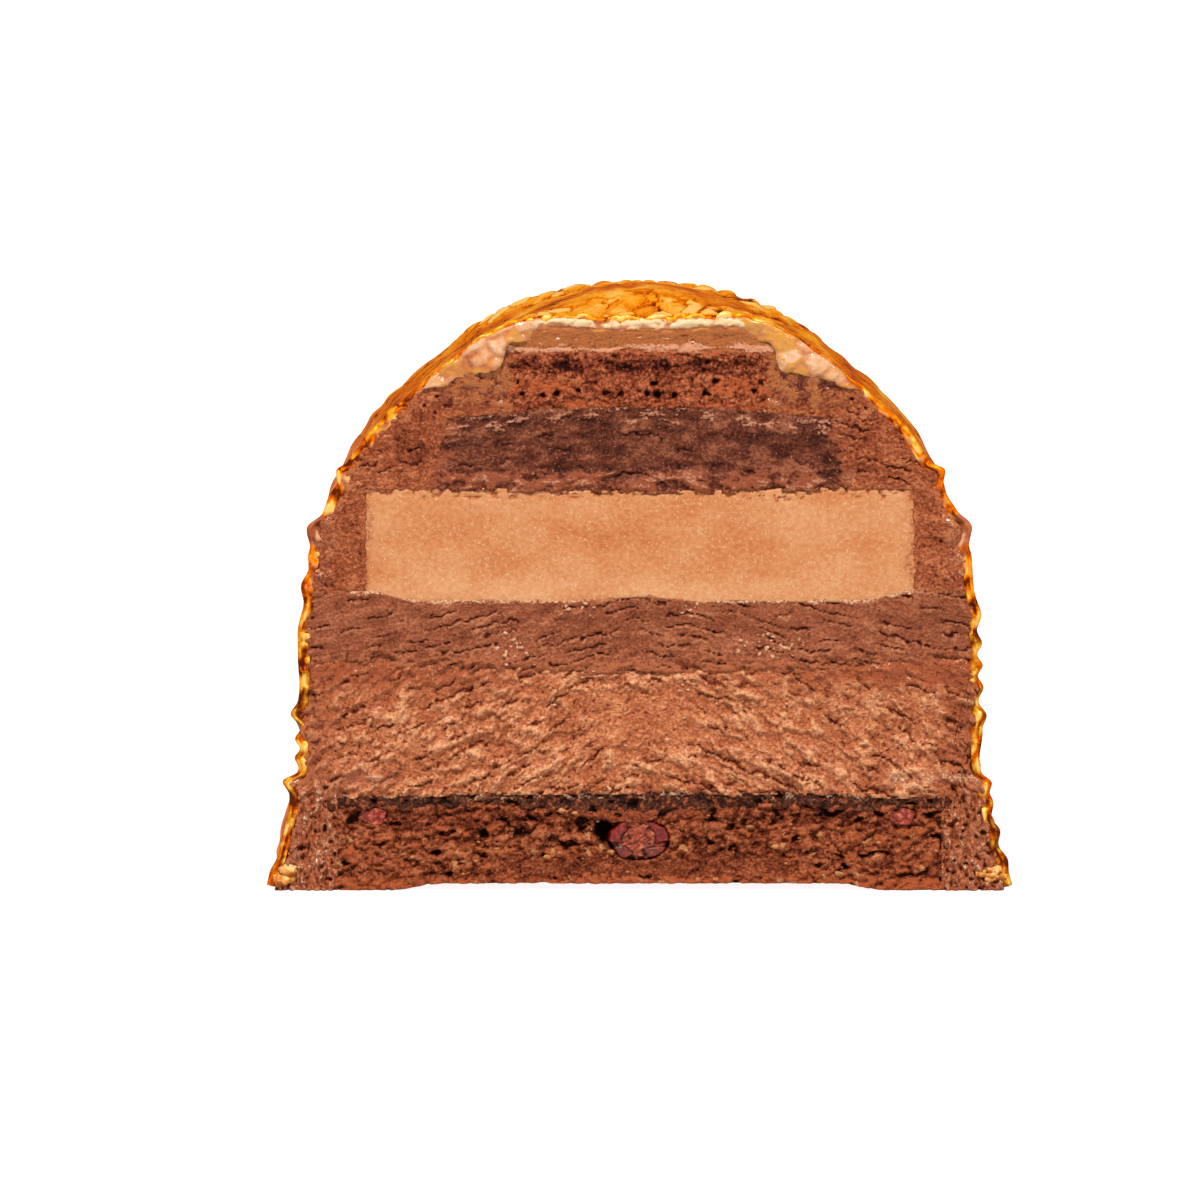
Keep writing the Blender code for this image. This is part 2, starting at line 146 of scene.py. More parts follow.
def crest(along: float, across: float, seed: float) -> float:
    """Gives 1 on the line of a ridge, falling quickly to 0 beside it."""
    line = abs(noise.noise(Vector((along, across, seed))))
    return (1 - min(1.0, 3.4 * line)) ** 2


def clods(u: float, v: float, size: float, seed: float) -> Clod:
    """Breaks a surface into lumps.

    Args:
        u: The place across the log.
        v: The height.
        size: About how wide a lump is, in the same units.
        seed: Which pattern.

    Returns:
        What the point is like.
    """
    distances, points = noise.voronoi(Vector((u / size, v / size, seed)))
    rise = 1 - min(1.0, distances[0]) ** 2
    crevice = 1 - ease(distances[1] - distances[0], 0.0, 0.28)
    return Clod(rise, crevice, chance(points[0].x, points[0].y, points[0].z))


def pits(
    u: float, v: float, pitch: float, radius: float, seed: float, share: float, flat: float = 1.3
) -> float:
    """Says how deep in a scattered pit a point is.

    Args:
        u: The place across the log.
        v: The height.
        pitch: The usual distance between two pits.
        radius: The usual half height of a pit.
        seed: Which pattern.
        share: How many places have a pit, from 0 to 1.
        flat: How much wider than high a pit is.

    Returns:
        1 in the middle of a pit and 0 outside.
    """
    column, row = math.floor(u / pitch), math.floor(v / pitch)
    deepest = 0.0
    for i in (column - 1, column, column + 1):
        for j in (row - 1, row, row + 1):
            if chance(i, j, seed) > share:
                continue
            centre_u = (i + 0.15 + 0.7 * chance(i, j, seed + 1)) * pitch
            centre_v = (j + 0.15 + 0.7 * chance(i, j, seed + 2)) * pitch
            size = radius * (0.55 + 0.8 * chance(i, j, seed + 3))
            away = math.hypot((u - centre_u) / flat, v - centre_v) / size
            if away < 1.0:
                deepest = max(deepest, ease(1 - away, 0.0, 0.7))
    return deepest


def hollow(u: float, v: float, centre: tuple[float, float], half: tuple[float, float], wall: float) -> float:
    """Gives 1 inside an ellipse, falling to 0 at its edge over a share of its radius."""
    away = math.hypot((u - centre[0]) / half[0], (v - centre[1]) / half[1])
    return ease(1 - away, 0.0, wall)


# ---- the form of the log ----


@dataclass(frozen=True)
class LogForm:
    """The outline of the log, and how the knife and its own weight have changed it."""

    thickness: float = 30.0 * MM
    crown_radius: float = 39.6 * MM
    wall_height: float = 29.6 * MM
    wall_lean: float = 0.7 * MM
    foot_height: float = 15.0 * MM
    foot_spread: float = 3.3 * MM
    foot_bend: float = 1.1
    crown_rise: float = 0.75 * MM
    crown_rise_half: float = 18.0 * MM
    shoulder_fall: float = 0.75 * MM
    shoulder_at: float = 25.0 * MM
    shoulder_half: float = 8.0 * MM
    front_press: float = 2.95 * MM
    back_press: float = 0.8 * MM
    press_length: float = 12.0 * MM
    press_half_width: float = 15.0 * MM
    sink: float = 0.45 * MM
    draw_in: float = 0.45 * MM
    glaze: float = 1.15 * MM
    fold_spacing: float = 5.6 * MM
    crown_fold: float = 0.1 * MM
    wall_fold: float = 0.3 * MM
    knob_length: float = 7.0 * MM
    knobs: tuple[tuple[float, float, float], ...] = (
        (48.8, 0.8, 1.5),
        (42.2, 1.3, 2.4),
        (20.6, 0.6, 1.6),
        (12.6, 0.9, 1.4),
    )
    crown_ribbon: float = 0.42 * MM
    wall_ribbon: float = 1.05 * MM

    @property
    def crown_arc(self) -> float:
        """The outline's length from the crown to the top of a wall."""
        return self.crown_radius * math.pi / 2

    @property
    def half_outline(self) -> float:
        """The outline's length from the crown to the floor."""
        return self.crown_arc + self.wall_height

    def wall_half_width(self, z: float) -> float:
        """The half width of the log at a height on its wall or foot."""
        lean = self.wall_lean * (self.wall_height - z) / self.wall_height
        foot = self.foot_spread * max(0.0, 1 - z / self.foot_height) ** self.foot_bend
        return self.crown_radius + lean + foot

    def outline(self, distance: float) -> Vector:
        """Follows the outline from the crown.

        Args:
            distance: How far from the crown, to the left if negative.

        Returns:
            The point (x, z) of the outline there.
        """
        side = math.copysign(1.0, distance)
        distance = abs(distance)
        if distance <= self.crown_arc:
            angle = distance / self.crown_radius
            x = side * self.crown_radius * math.sin(angle)
            return Vector((x, self.wall_height + self.crown_radius * math.cos(angle)))
        z = self.half_outline - distance
        return Vector((side * self.wall_half_width(z), z))

    def outward(self, distance: float) -> Vector:
        """The unit normal of the outline, pointing out of the log."""
        step = 1.2 * MM
        run = self.outline(distance + step) - self.outline(distance - step)
        return Vector((-run.y, run.x)).normalized()

    def distance_at(self, z: float) -> float:
        """The distance from the crown at which the right half of the outline has that height."""
        if z < self.wall_height:
            return self.half_outline - z
        return self.crown_radius * math.acos((z - self.wall_height) / self.crown_radius)

    def press(self, x: float, y: float) -> float:
        """Says how far the knife has pressed the crown down.

        Args:
            x: The place across the log.
            y: The place along it.

        Returns:
            The depth of the dent.
        """
        across = 1 - ease(abs(x), 2.0 * MM, self.press_half_width)
        front = self.front_press * (1 - ease(y + self.thickness / 2, 0.0, self.press_length))
        back = self.back_press * (1 - ease(self.thickness / 2 - y, 0.0, self.press_length))
        return across * max(front, back)

    def crown_shape(self, x: float) -> float:
        """How far the crown stands above the half round there, or below it on a shoulder."""
        shoulder = self.shoulder_fall * bump(abs(x), self.shoulder_at, self.shoulder_half)
        return self.crown_rise * bump(x, 0.0, self.crown_rise_half) - shoulder

    def rim(self, distance: float, inset: float, y: float) -> Vector:
        """A point (x, z) of the pressed outline, moved into the log by inset."""
        point = self.outline(distance) - self.outward(distance) * inset
        return Vector((point.x, point.y + self.crown_shape(point.x) - self.press(point.x, y)))

    def fold(self, distance: float, y: float) -> float:
        """Says how far the glaze's folds stand out. They run along the log and wander a little.

        Args:
            distance: How far round the outline from the crown.
            y: The place along the log.

        Returns:
            The fold's height, below 0 between two folds.
        """
        wander = 2.2 * MM * wave(y + self.thickness, 22 * MM, distance / (60 * MM))
        phase = (distance + wander) / self.fold_spacing + 1.5 * wave(distance, 13 * MM, 9.0)
        rise = ease(abs(distance), 36 * MM, self.crown_arc + 4 * MM)
        return (self.crown_fold + (self.wall_fold - self.crown_fold) * rise) * math.sin(2 * math.pi * phase)

    def knob(self, distance: float, y: float) -> float:
        """Says how far the lumps that bulge over the front cut stand out.

        Args:
            distance: How far round the outline from the crown.
            y: The place along the log.

        Returns:
            The lump's height there.
        """
        near = 1 - ease(y + self.thickness / 2, 0.0, self.knob_length)
        if near == 0.0:
            return 0.0
        return near * sum(
            size * MM * bump(abs(distance), self.distance_at(z * MM), half * MM)
            for z, size, half in self.knobs
        )

    def near_cut(self, y: float) -> bool:
        """Whether a place along the log is at one of its cuts."""
        return abs(y) > 0.9 * self.thickness / 2

    def under_skin(self, distance: float, y: float) -> float:
        """Says where the layers end: close under the skin at a cut, and under the glaze between the cuts.

        Args:
            distance: How far round the outline from the crown.
            y: The place along the log.

        Returns:
            How deep in the log the layers end.
        """
        if not self.near_cut(y):
            return self.glaze - 0.1 * MM
        wall = ease(abs(distance), 22 * MM, 37 * MM)
        ribbon = self.crown_ribbon + (self.wall_ribbon - self.crown_ribbon) * wall
        waver = (0.22 + 0.65 * wall) * MM * noise.noise(Vector((distance / (1.5 * MM), 3.0, y / (10 * MM))))
        hem = ease(self.half_outline - abs(distance), 0.6 * MM, 3 * MM)
        low = 0.4 * MM * ease(abs(distance), self.half_outline - 4 * MM, self.half_outline - 1.5 * MM)
        depth = min(1.3 * MM, max(0.25 * MM, ribbon + waver + low))
        return depth - (self.fold(distance, y) + self.knob(distance, y)) * hem

    def side(self, z: float, side: int, y: float) -> float:
        """The half width that the glaze leaves to the layers on one side, at a height."""
        distance = side * self.distance_at(z)
        return abs(self.rim(distance, self.under_skin(distance, y), y).x)

    def settled(self, x: float, y: float, z: float) -> Vector:
        """Lets the cake sink and draw in between its cuts.

        Args:
            x: The point's place across the log.
            y: Its place along the log.
            z: Its height.

        Returns:
            Where the point ends up.
        """
        middle = 1 - (2 * y / self.thickness) ** 2
        down = self.sink * middle * ease(z, 1 * MM, 8 * MM)
        inward = self.draw_in * middle * ease(abs(x), 0.0, 12 * MM)
        return Vector((x - math.copysign(inward, x), y, z - down))


@dataclass(frozen=True)
class Strata:
    """Where each layer of the log ends."""

    caramel_half: float = 31.8 * MM
    caramel_bottom: float = 33.9 * MM
    caramel_high: float = 47.0 * MM
    ganache_half: float = 24.4 * MM
    ganache_top_half: float = 22.2 * MM
    ganache_high: float = 56.5 * MM
    sponge_half: float = 14.9 * MM
    sponge_top_half: float = 14.1 * MM
    sponge_high: float = 62.9 * MM
    middle_low: float = 25.4 * MM
    film_high: float = 11.8 * MM
    base_high: float = 9.9 * MM
    base_dip: float = 1.6 * MM
    base_half: float = 36.6 * MM
    base_lift: float = 0.8 * MM
    base_strip: float = 29.0 * MM
    cream_half_arc: float = 29.0 * MM
    cream_thickness: float = 0.95 * MM
    cream_end: float = 0.55 * MM
    cream_lump: float = 1.9 * MM
    cream_lump_at: float = 20.0 * MM
    cream_lump_half: float = 4.2 * MM

    def base_bottom(self, x: float) -> float:
        """The underside of the base, raised between its two strips."""
        return self.base_lift * (1 - ease(abs(x), self.base_strip - 6 * MM, self.base_strip))

    def base_top(self, x: float) -> float:
        """The top of the base."""
        dip = self.base_dip * bump(x, 0.0, 13 * MM)
        return self.base_high - dip + 0.2 * MM * wave(x, 9 * MM, 1.0)

    def film_top(self, x: float) -> float:
        """The top of the dark film."""
        fall = 0.4 * MM * ease(abs(x), 10 * MM, 30 * MM)
        return self.film_high - fall + 0.15 * MM * wave(x, 12 * MM, 2.0)

    def middle_bottom(self, x: float) -> float:
        """The border of the lower and the middle mousse."""
        rise = 1.2 * MM * ease(abs(x), 12 * MM, 36 * MM)
        return self.middle_low + rise + 0.4 * MM * wave(x, 14 * MM, 3.0)

    def middle_top(self, x: float) -> float:
        """The surface under the caramel, which steps up to the mousse at its sides."""
        step = 1.2 * MM * ease(abs(x), self.caramel_half - 7 * MM, self.caramel_half + 0.5 * MM)
        rise = 0.7 * MM * bump(x, 0.0, 8 * MM)
        return self.caramel_bottom + step + rise + 0.15 * MM * wave(x, 16 * MM, 4.0)

    def caramel_top(self, x: float) -> float:
        """The top of the caramel."""
        sag = 0.5 * MM * bump(x, 0.0, self.caramel_half)
        return self.caramel_high - sag + 0.1 * MM * wave(x, 11 * MM, 5.0)

    def ganache_top(self, x: float) -> float:
        """The top of the ganache."""
        fall = 1.3 * MM * ease(abs(x), 4 * MM, self.ganache_half)
        return self.ganache_high - fall + 0.15 * MM * wave(x, 10 * MM, 6.0)

    def sponge_top(self, x: float) -> float:
        """The top of the sponge."""
        fall = 0.5 * MM * ease(abs(x), 8 * MM, self.sponge_half)
        return self.sponge_high - fall + 0.1 * MM * wave(x, 6 * MM, 7.0)

    def cream(self, distance: float) -> float:
        """Says how thick the cream is: thin over the crown, with a lump on each shoulder.

        Args:
            distance: How far round the outline from the crown.

        Returns:
            The thickness.
        """
        reach = abs(distance)
        lump = self.cream_lump * bump(reach, self.cream_lump_at, self.cream_lump_half)
        end = ease(self.cream_half_arc - reach, 0.0, 7 * MM)
        return self.cream_end + (self.cream_thickness - self.cream_end) * end + lump


FORM = LogForm()
STRATA = Strata()


# ---- finishes ----


class Wire:
    """A socket that gives numbers, for use in sums."""

    def __init__(self, board: Board, socket: bpy.types.NodeSocket) -> None:
        """Wraps a socket of a board's node."""
        self.board = board
        self.socket = socket

    def __add__(self, other: Wire | float) -> Wire:
        """Adds."""
        return self.board.maths("ADD", self, other)

    def __sub__(self, other: Wire | float) -> Wire:
        """Subtracts."""
        return self.board.maths("SUBTRACT", self, other)

    def __mul__(self, other: Wire | float) -> Wire:
        """Multiplies."""
        return self.board.maths("MULTIPLY", self, other)

    def __rsub__(self, other: float) -> Wire:
        """Subtracts this from a number."""
        return self.board.maths("SUBTRACT", other, self)

    __radd__ = __add__
    __rmul__ = __mul__


class Board:
    """The nodes of one material."""

    def __init__(self, name: str) -> None:
        """Makes the material with its Principled shader.

        Args:
            name: The material's name.
        """
        self.material = bpy.data.materials.new(name)
        self.material.use_nodes = True
        self.tree = self.material.node_tree
        self.shader = self.tree.nodes["Principled BSDF"]
        self.place = self.node("ShaderNodeTexCoord", {}, {}).outputs["Object"]

    def put(self, socket: bpy.types.NodeSocket, value: object) -> None:
        """Links or sets one input.

        Args:
            socket: The input.
            value: A wire, a socket, a number or a colour.
        """
        if isinstance(value, Wire):
            value = value.socket
        if isinstance(value, bpy.types.NodeSocket):
            self.tree.links.new(value, socket)
        else:
            socket.default_value = value

    def node(
        self, kind: str, settings: dict[str, object], sockets: dict[str | int, object]
    ) -> bpy.types.Node:
        """Makes a node.

        Args:
            kind: The node's type.
            settings: Its properties, which are set first.
            sockets: Its inputs by name or number, with their values or links.

        Returns:
            The node.
        """
        made = self.tree.nodes.new(kind)
        for name, value in settings.items():
            setattr(made, name, value)
        for name, value in sockets.items():
            self.put(made.inputs[name], value)
        return made

    def maths(self, operation: str, first: Wire | float, second: Wire | float) -> Wire:
        """Works out a sum of two values."""
        made = self.node("ShaderNodeMath", {"operation": operation}, {0: first, 1: second})
        return Wire(self, made.outputs[0])

    def noise(self, size: float, stretch: Colour = (1.0, 1.0, 1.0), detail: float = 3.0) -> Wire:
        """Gives noise from 0 to 1.

        Args:
            size: The size of its lumps, in millimetres.
            stretch: How many times longer they are along each axis.
            detail: How many finer rounds it has.

        Returns:
            The value.
        """
        scale = [1 / (size * MM * s) for s in stretch]
        place = self.node("ShaderNodeMapping", {}, {"Vector": self.place, "Scale": scale})
        made = self.node(
            "ShaderNodeTexNoise",
            {},
            {"Vector": place.outputs[0], "Scale": 1.0, "Detail": detail, "Roughness": 0.6},
        )
        return Wire(self, made.outputs[0])

    def cloud(self, size: float, stretch: Colour = (1.0, 1.0, 1.0), detail: float = 3.0) -> Wire:
        """Gives noise spread evenly over 0 to 1."""
        return self.step(self.noise(size, stretch, detail), 0.31, 0.69)

    def attribute(self, name: str) -> Wire:
        """Reads one of the piece's own attributes."""
        made = self.node("ShaderNodeAttribute", {"attribute_name": name}, {})
        return Wire(self, made.outputs["Fac"])

    def step(self, value: Wire, low: float, high: float) -> Wire:
        """Turns a value into a smooth step.

        Args:
            value: The value.
            low: Where the step starts to rise from 0.
            high: Where it has reached 1.

        Returns:
            The step.
        """
        made = self.node(
            "ShaderNodeMapRange",
            {"interpolation_type": "SMOOTHSTEP"},
            {"Value": value, "From Min": low, "From Max": high},
        )
        return Wire(self, made.outputs[0])

    def ramp(self, value: Wire, stops: Sequence[tuple[float, Colour]]) -> bpy.types.NodeSocket:
        """Gives a colour for a value.

        Args:
            value: The value, from 0 to 1.
            stops: Each place and its colour.

        Returns:
            The colour's socket.
        """
        made = self.node("ShaderNodeValToRGB", {}, {0: value})
        elements = made.color_ramp.elements
        while len(elements) < len(stops):
            elements.new(0.5)
        for element, (place, colour) in zip(elements, stops):
            element.position = place
            element.color = paint(colour)
        return made.outputs[0]

    def mix(self, share: Wire, first: object, second: object) -> bpy.types.NodeSocket:
        """Mixes two colours.

        Args:
            share: How much of the second colour shows.
            first: A socket, or a colour as it looks when lit.
            second: The same.

        Returns:
            The mixed colour's socket.
        """
        ends = [paint(c) if isinstance(c, tuple) else c for c in (first, second)]
        made = self.node("ShaderNodeMix", {"data_type": "RGBA"}, {0: share, 6: ends[0], 7: ends[1]})
        return made.outputs[2]

    def relief(self, height: Wire, depth: float) -> bpy.types.NodeSocket:
        """Turns a height from 0 to 1 into a normal, with its full depth in millimetres."""
        made = self.node("ShaderNodeBump", {}, {"Strength": 1.0, "Distance": depth * MM, "Height": height})
        return made.outputs[0]

    def dress(self, sockets: dict[str, object]) -> bpy.types.Material:
        """Feeds the Principled shader and gives the finished material."""
        for name, value in sockets.items():
            self.put(self.shader.inputs[name], value)
        return self.material


def paint(colour: Colour) -> tuple[float, float, float, float]:
    """Turns a colour as it looks when lit into one for a shader.

    Args:
        colour: The colour, from 0 to 255.

    Returns:
        The linear colour, with its alpha.
    """
    linear = []
    for part in colour:
        share = part / 255
        value = share / 12.92 if share <= 0.04045 else ((share + 0.055) / 1.055) ** 2.4
        linear.append(value / STUDIO_LEVEL)
    return (*linear, 1.0)


@dataclass(frozen=True)
class CakeFinish:
    """A mousse, sponge or cream: its colours by level, from painted shade in the deepest places to painted
    highlights on the raised ones, its grain, its pores and its shine.
    """

    name: str
    # deep: painted shade, the colour of gaps, pits and crevices.
    deep: Colour
    body: Colour
    # raised: the colour of raised lumps and lips, with painted highlight.
    raised: Colour
    accent: Colour
    # pale: pale streaks and specks, and also the colour of painted glints and sheen.
    pale: Colour
    grain_size: float = 0.3
    grain_share: float = 0.4
    patch_size: float = 3.0
    patch_share: float = 0.2
    pore_size: float = 0.5
    pore_share: float = 0.0
    speck_share: float = 0.0
    roughness: float = 0.5
    wet_roughness: float = 0.2
    relief: float = 0.06
    specular: float = 0.07
    coat: float = 0.0

    def material(self) -> bpy.types.Material:
        """Makes the material.

        Returns:
            The material, which reads the piece's tone, accent, pale and wet attributes.
        """
        board = Board(self.name)
        tone, accent, pale, wet = (board.attribute(name) for name in ("tone", "accent", "pale", "wet"))
        fine = board.cloud(self.grain_size, (1.2, 1.0, 1.0), 3.0)
        patch = board.cloud(self.patch_size, (1.6, 1.6, 1.0), 2.0)
        level = tone + (fine - 0.5) * self.grain_share + (patch - 0.5) * self.patch_share
        height = fine
        if self.pore_share:
            pore = 1 - board.step(board.noise(self.pore_size, (1.2, 1.0, 1.0), 1.0), 0.3, 0.4)
            # Painted shade: the pores are darker as well as lower.
            level = level - pore * self.pore_share
            height = height - pore
        # Painted shade and highlight: the colour runs from deep at the lowest levels to raised at the
        # highest.
        colour = board.ramp(level, ((0.04, self.deep), (0.5, self.body), (0.96, self.raised)))
        # Painted shade: the accent and pale colours also darken where the level is low.
        dark = board.step(level, 0.05, 0.55) * 0.6 + 0.4
        ragged = (fine - 0.5) * 0.5
        second = board.mix(dark, self.deep, self.accent)
        colour = board.mix(board.step(accent + ragged, 0.25, 0.75), colour, second)
        third = board.mix(dark, self.body, self.pale)
        colour = board.mix(board.step(pale + ragged, 0.3, 0.7), colour, third)
        if self.speck_share:
            dots = board.noise(0.26, (1.0, 1.0, 1.0), 0.0)
            limit = 0.74 - self.speck_share
            colour = board.mix(board.step(dots, limit, limit + 0.08) * 0.5, colour, self.pale)
        shine = self.roughness + (fine - 0.5) * 0.2 + wet * (self.wet_roughness - self.roughness)
        return board.dress(
            {
                "Base Color": colour,
                "Roughness": shine,
                "Specular IOR Level": self.specular,
                "Coat Weight": wet * self.coat,
                "Coat Roughness": 0.12,
                "Normal": board.relief(height, self.relief),
            }
        )


@dataclass(frozen=True)
class GlazeFinish:
    """Gilded glaze: amber over gold, with painted shade in its creases and painted glints on its blobs, with
    mousse or cream smeared on its cut.
    """

    name: str = "gilded glaze"
    # crease is painted shade in the creases, shade a painted shaded orange, and glint a painted highlight.
    crease: Colour = (106, 38, 4)
    shade: Colour = (226, 92, 0)
    amber: Colour = (262, 136, 6)
    gold: Colour = (280, 188, 44)
    glint: Colour = (286, 224, 124)
    olive: Colour = (160, 100, 16)
    ochre: Colour = (246, 174, 50)
    mousse: Colour = (196, 108, 68)
    cream: Colour = (240, 180, 134)

    def material(self) -> bpy.types.Material:
        """Makes the material.

        Returns:
            The material, which reads the tone (with its painted shade and highlights), accent, pale and gilt
            attributes.
        """
        board = Board(self.name)
        tone, accent, pale, gilt = (board.attribute(name) for name in ("tone", "accent", "pale", "gilt"))
        fine = board.cloud(0.4, (1.0, 1.5, 1.0), 3.0)
        streak = board.cloud(2.4, (1.0, 2.0, 1.0), 3.0)
        level = tone + (fine - 0.5) * 0.16 + (streak - 0.5) * 0.16
        amber = board.ramp(
            level,
            (
                (0.04, self.crease),
                (0.26, self.shade),
                (0.5, self.amber),
                (0.74, self.gold),
                (0.97, self.glint),
            ),
        )
        leaf = board.ramp(
            level, ((0.04, self.crease), (0.3, self.olive), (0.55, self.ochre), (0.9, self.glint))
        )
        colour = board.mix(gilt, amber, leaf)
        smear = board.mix(pale, self.mousse, self.cream)
        # Painted shade: the smear darkens towards the crease colour where the level is low.
        smear = board.mix(board.step(level, 0.0, 0.5) * 0.5 + 0.5, self.crease, smear)
        colour = board.mix(board.step(accent + (fine - 0.5) * 0.4, 0.3, 0.7), colour, smear)
        return board.dress(
            {
                "Base Color": colour,
                "Roughness": 0.3 + (fine - 0.5) * 0.16 + accent * 0.1,
                "Metallic": 0.3 - accent * 0.3,
                "Coat Weight": 0.04,
                "Coat Roughness": 0.12,
                "Specular IOR Level": 0.0,
                "Specular Tint": (1.0, 0.62, 0.22, 1.0),
                "Normal": board.relief(fine + streak * 0.5, 0.03),
            }
        )


@dataclass(frozen=True)
class CherryFinish:
    """Wet dark cherry: glossy flesh, with a dull crumbly heart."""

    name: str = "cherry"
    # deep is painted shade in the crevices; light is a painted highlight on the flesh.
    deep: Colour = (34, 4, 3)
    flesh: Colour = (136, 26, 16)
    light: Colour = (198, 84, 50)
    brown: Colour = (126, 44, 28)
    heart: Colour = (168, 70, 40)
    crumbly: Colour = (226, 142, 96)

    def material(self) -> bpy.types.Material:
        """Makes the material.

        Returns:
            The material, which reads the tone (with its painted shade and highlights), accent and pale
            attributes.
        """
        board = Board(self.name)
        tone, accent, pale = (board.attribute(name) for name in ("tone", "accent", "pale"))
        fine = board.cloud(0.35, (1.0, 1.0, 1.0), 3.0)
        level = tone + (fine - 0.5) * 0.25
        flesh = board.ramp(level, ((0.05, self.deep), (0.5, self.flesh), (0.95, self.light)))
        brown = board.ramp(level, ((0.05, self.deep), (0.55, self.brown), (0.95, self.light)))
        heart = board.ramp(level, ((0.1, self.deep), (0.55, self.heart), (0.95, self.crumbly)))
        colour = board.mix(pale, flesh, brown)
        colour = board.mix(board.step(accent + (fine - 0.5) * 0.4, 0.35, 0.65), colour, heart)
        return board.dress(
            {
                "Base Color": colour,
                "Roughness": 0.2 + accent * 0.35,
                "Specular IOR Level": 0.2,
                "Coat Weight": 0.22 - accent * 0.22,
                "Coat Roughness": 0.1,
                "Normal": board.relief(fine, 0.05),
            }
        )


# ---- pieces ----


def grid_block(columns: int, rows: int, steps: int) -> bmesh.types.BMesh:
    """Makes a closed block whose vertices hold (s, t, w), each from 0 to 1.

    Args:
        columns: Cells along s.
        rows: Cells along t.
        steps: Cells along w, at the block's sides only.

    Returns:
        The mesh.
    """
    mesh = bmesh.new()
    bmesh.ops.create_grid(mesh, x_segments=columns, y_segments=rows, size=0.5)
    bmesh.ops.translate(mesh, verts=mesh.verts, vec=(0.5, 0.5, 0.0))
    cap = list(mesh.faces)
    for step in range(steps):
        grown = bmesh.ops.extrude_face_region(mesh, geom=cap)["geom"]
        verts = [part for part in grown if isinstance(part, bmesh.types.BMVert)]
        bmesh.ops.translate(mesh, verts=verts, vec=(0, 0, 1 / steps))
        if step:
            bmesh.ops.delete(mesh, geom=cap, context="FACES")
        cap = [part for part in grown if isinstance(part, bmesh.types.BMFace)]
    return mesh


def marks(mesh: bmesh.types.BMesh, *names: str) -> tuple[bmesh.types.BMLayerItem, ...]:
    """Adds the numbers that each vertex holds, which a finish reads by their names."""
    return tuple(mesh.verts.layers.float.new(name) for name in names)


def finished(name: str, mesh: bmesh.types.BMesh, material: bpy.types.Material) -> bpy.types.Object:
    """Turns a mesh into a piece that rides with the slice.

    Args:
        name: The piece's name.
        mesh: Its mesh, which is freed.
        material: Its material.

    Returns:
        The piece.
    """
    bmesh.ops.recalc_face_normals(mesh, faces=mesh.faces)
    if mesh.calc_volume(signed=True) < 0:
        bmesh.ops.reverse_faces(mesh, faces=mesh.faces)
    data = bpy.data.meshes.new(name)
    mesh.to_mesh(data)
    mesh.free()
    data.shade_smooth()
    data.materials.append(material)
    piece = bpy.data.objects.new(name, data)
    bpy.context.scene.collection.objects.link(piece)
    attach(piece, "root")
    LOG.info("%s: %d faces", name, len(data.polygons))
    return piece


@dataclass
class CutLayer:
    """A layer that runs through the slice, with fine crumb on both of its cuts."""

    name: str
    node: str
    slot: str
    finish: CakeFinish
    columns: int
    rows: int
    edge: float = 0.2
    lap: float = 0.2 * MM
    # Where the layer is shaped, as shares of the way from the middle to a cut. It dives under the glaze
    # between the last two rings at each cut.
    rings = (-1.0, -0.88, 0.0, 0.88, 1.0)
    # Over how many cells the border of a cut is rounded.
    border_cells = 3.0
    # Where the layer's patterns of noise start, and how far apart those of the two cuts are.
    pattern = 0.0
    cut_step = 9.0

    def seed(self, cut: Cut) -> float:
        """Which pattern of noise a cut has."""
        return self.pattern + self.cut_step * cut.value

    def plane(self, s: float, t: float, y: float) -> tuple[float, float]:
        """The place (x, z) of a point of the layer's grid."""
        raise NotImplementedError

    def crumb(self, u: float, v: float, cut: Cut) -> Crumb:
        """What the cut is like at (u, v), in millimetres."""
        raise NotImplementedError

    def border(self, s: float, t: float) -> float:
        """How many cells a point is from the nearest border that shows."""
        return min(min(s, 1 - s) * self.columns, min(t, 1 - t) * self.rows)

    def between(
        self,
        s: float,
        t: float,
        low: Callable[[float], float],
        high: Callable[[float], float],
        half: Callable[[float, int], float],
    ) -> tuple[float, float]:
        """Places a point between two surfaces.

        Args:
            s: The share of the way across.
            t: The share of the way up.
            low: The lower surface.
            high: The upper surface.
            half: The half width at a height, on the left (-1) or the right (1).

        Returns:
            The point (x, z), with the layer lapping a little over its neighbours.
        """
        across = 2 * s - 1
        side = -1 if across < 0 else 1
        x = across * half(low(0.0), side)
        z = 0.0
        for _ in range(2):
            bottom = low(x) - self.lap
            z = bottom + (high(x) + self.lap - bottom) * t
            x = across * half(z, side)
        return x, z

    def build(self) -> bpy.types.Object:
        """Makes the layer, which stands for its node.

        Returns:
            The piece.
        """
        last = len(self.rings) - 1
        mesh = grid_block(self.columns, self.rows, last)
        tone, accent, pale, wet = marks(mesh, "tone", "accent", "pale", "wet")
        for vertex in mesh.verts:
            s, t, w = vertex.co
            ring = self.rings[round(w * last)]
            y = ring * FORM.thickness / 2
            x, z = self.plane(s, t, y)
            cut = Cut.FRONT if w < 0.5 else Cut.BACK
            at = self.crumb(x / MM, z / MM, cut)
            height = at.height - self.edge * (1 - ease(self.border(s, t), 0.0, self.border_cells))
            place = FORM.settled(x, y, z)
            if abs(ring) == 1.0:
                place.y += cut.value * height * MM
            vertex.co = place
            vertex[tone], vertex[accent], vertex[pale], vertex[wet] = at.tone, at.accent, at.pale, at.wet
        piece = finished(self.name, mesh, self.finish.material())
        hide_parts(self.node)
        return piece


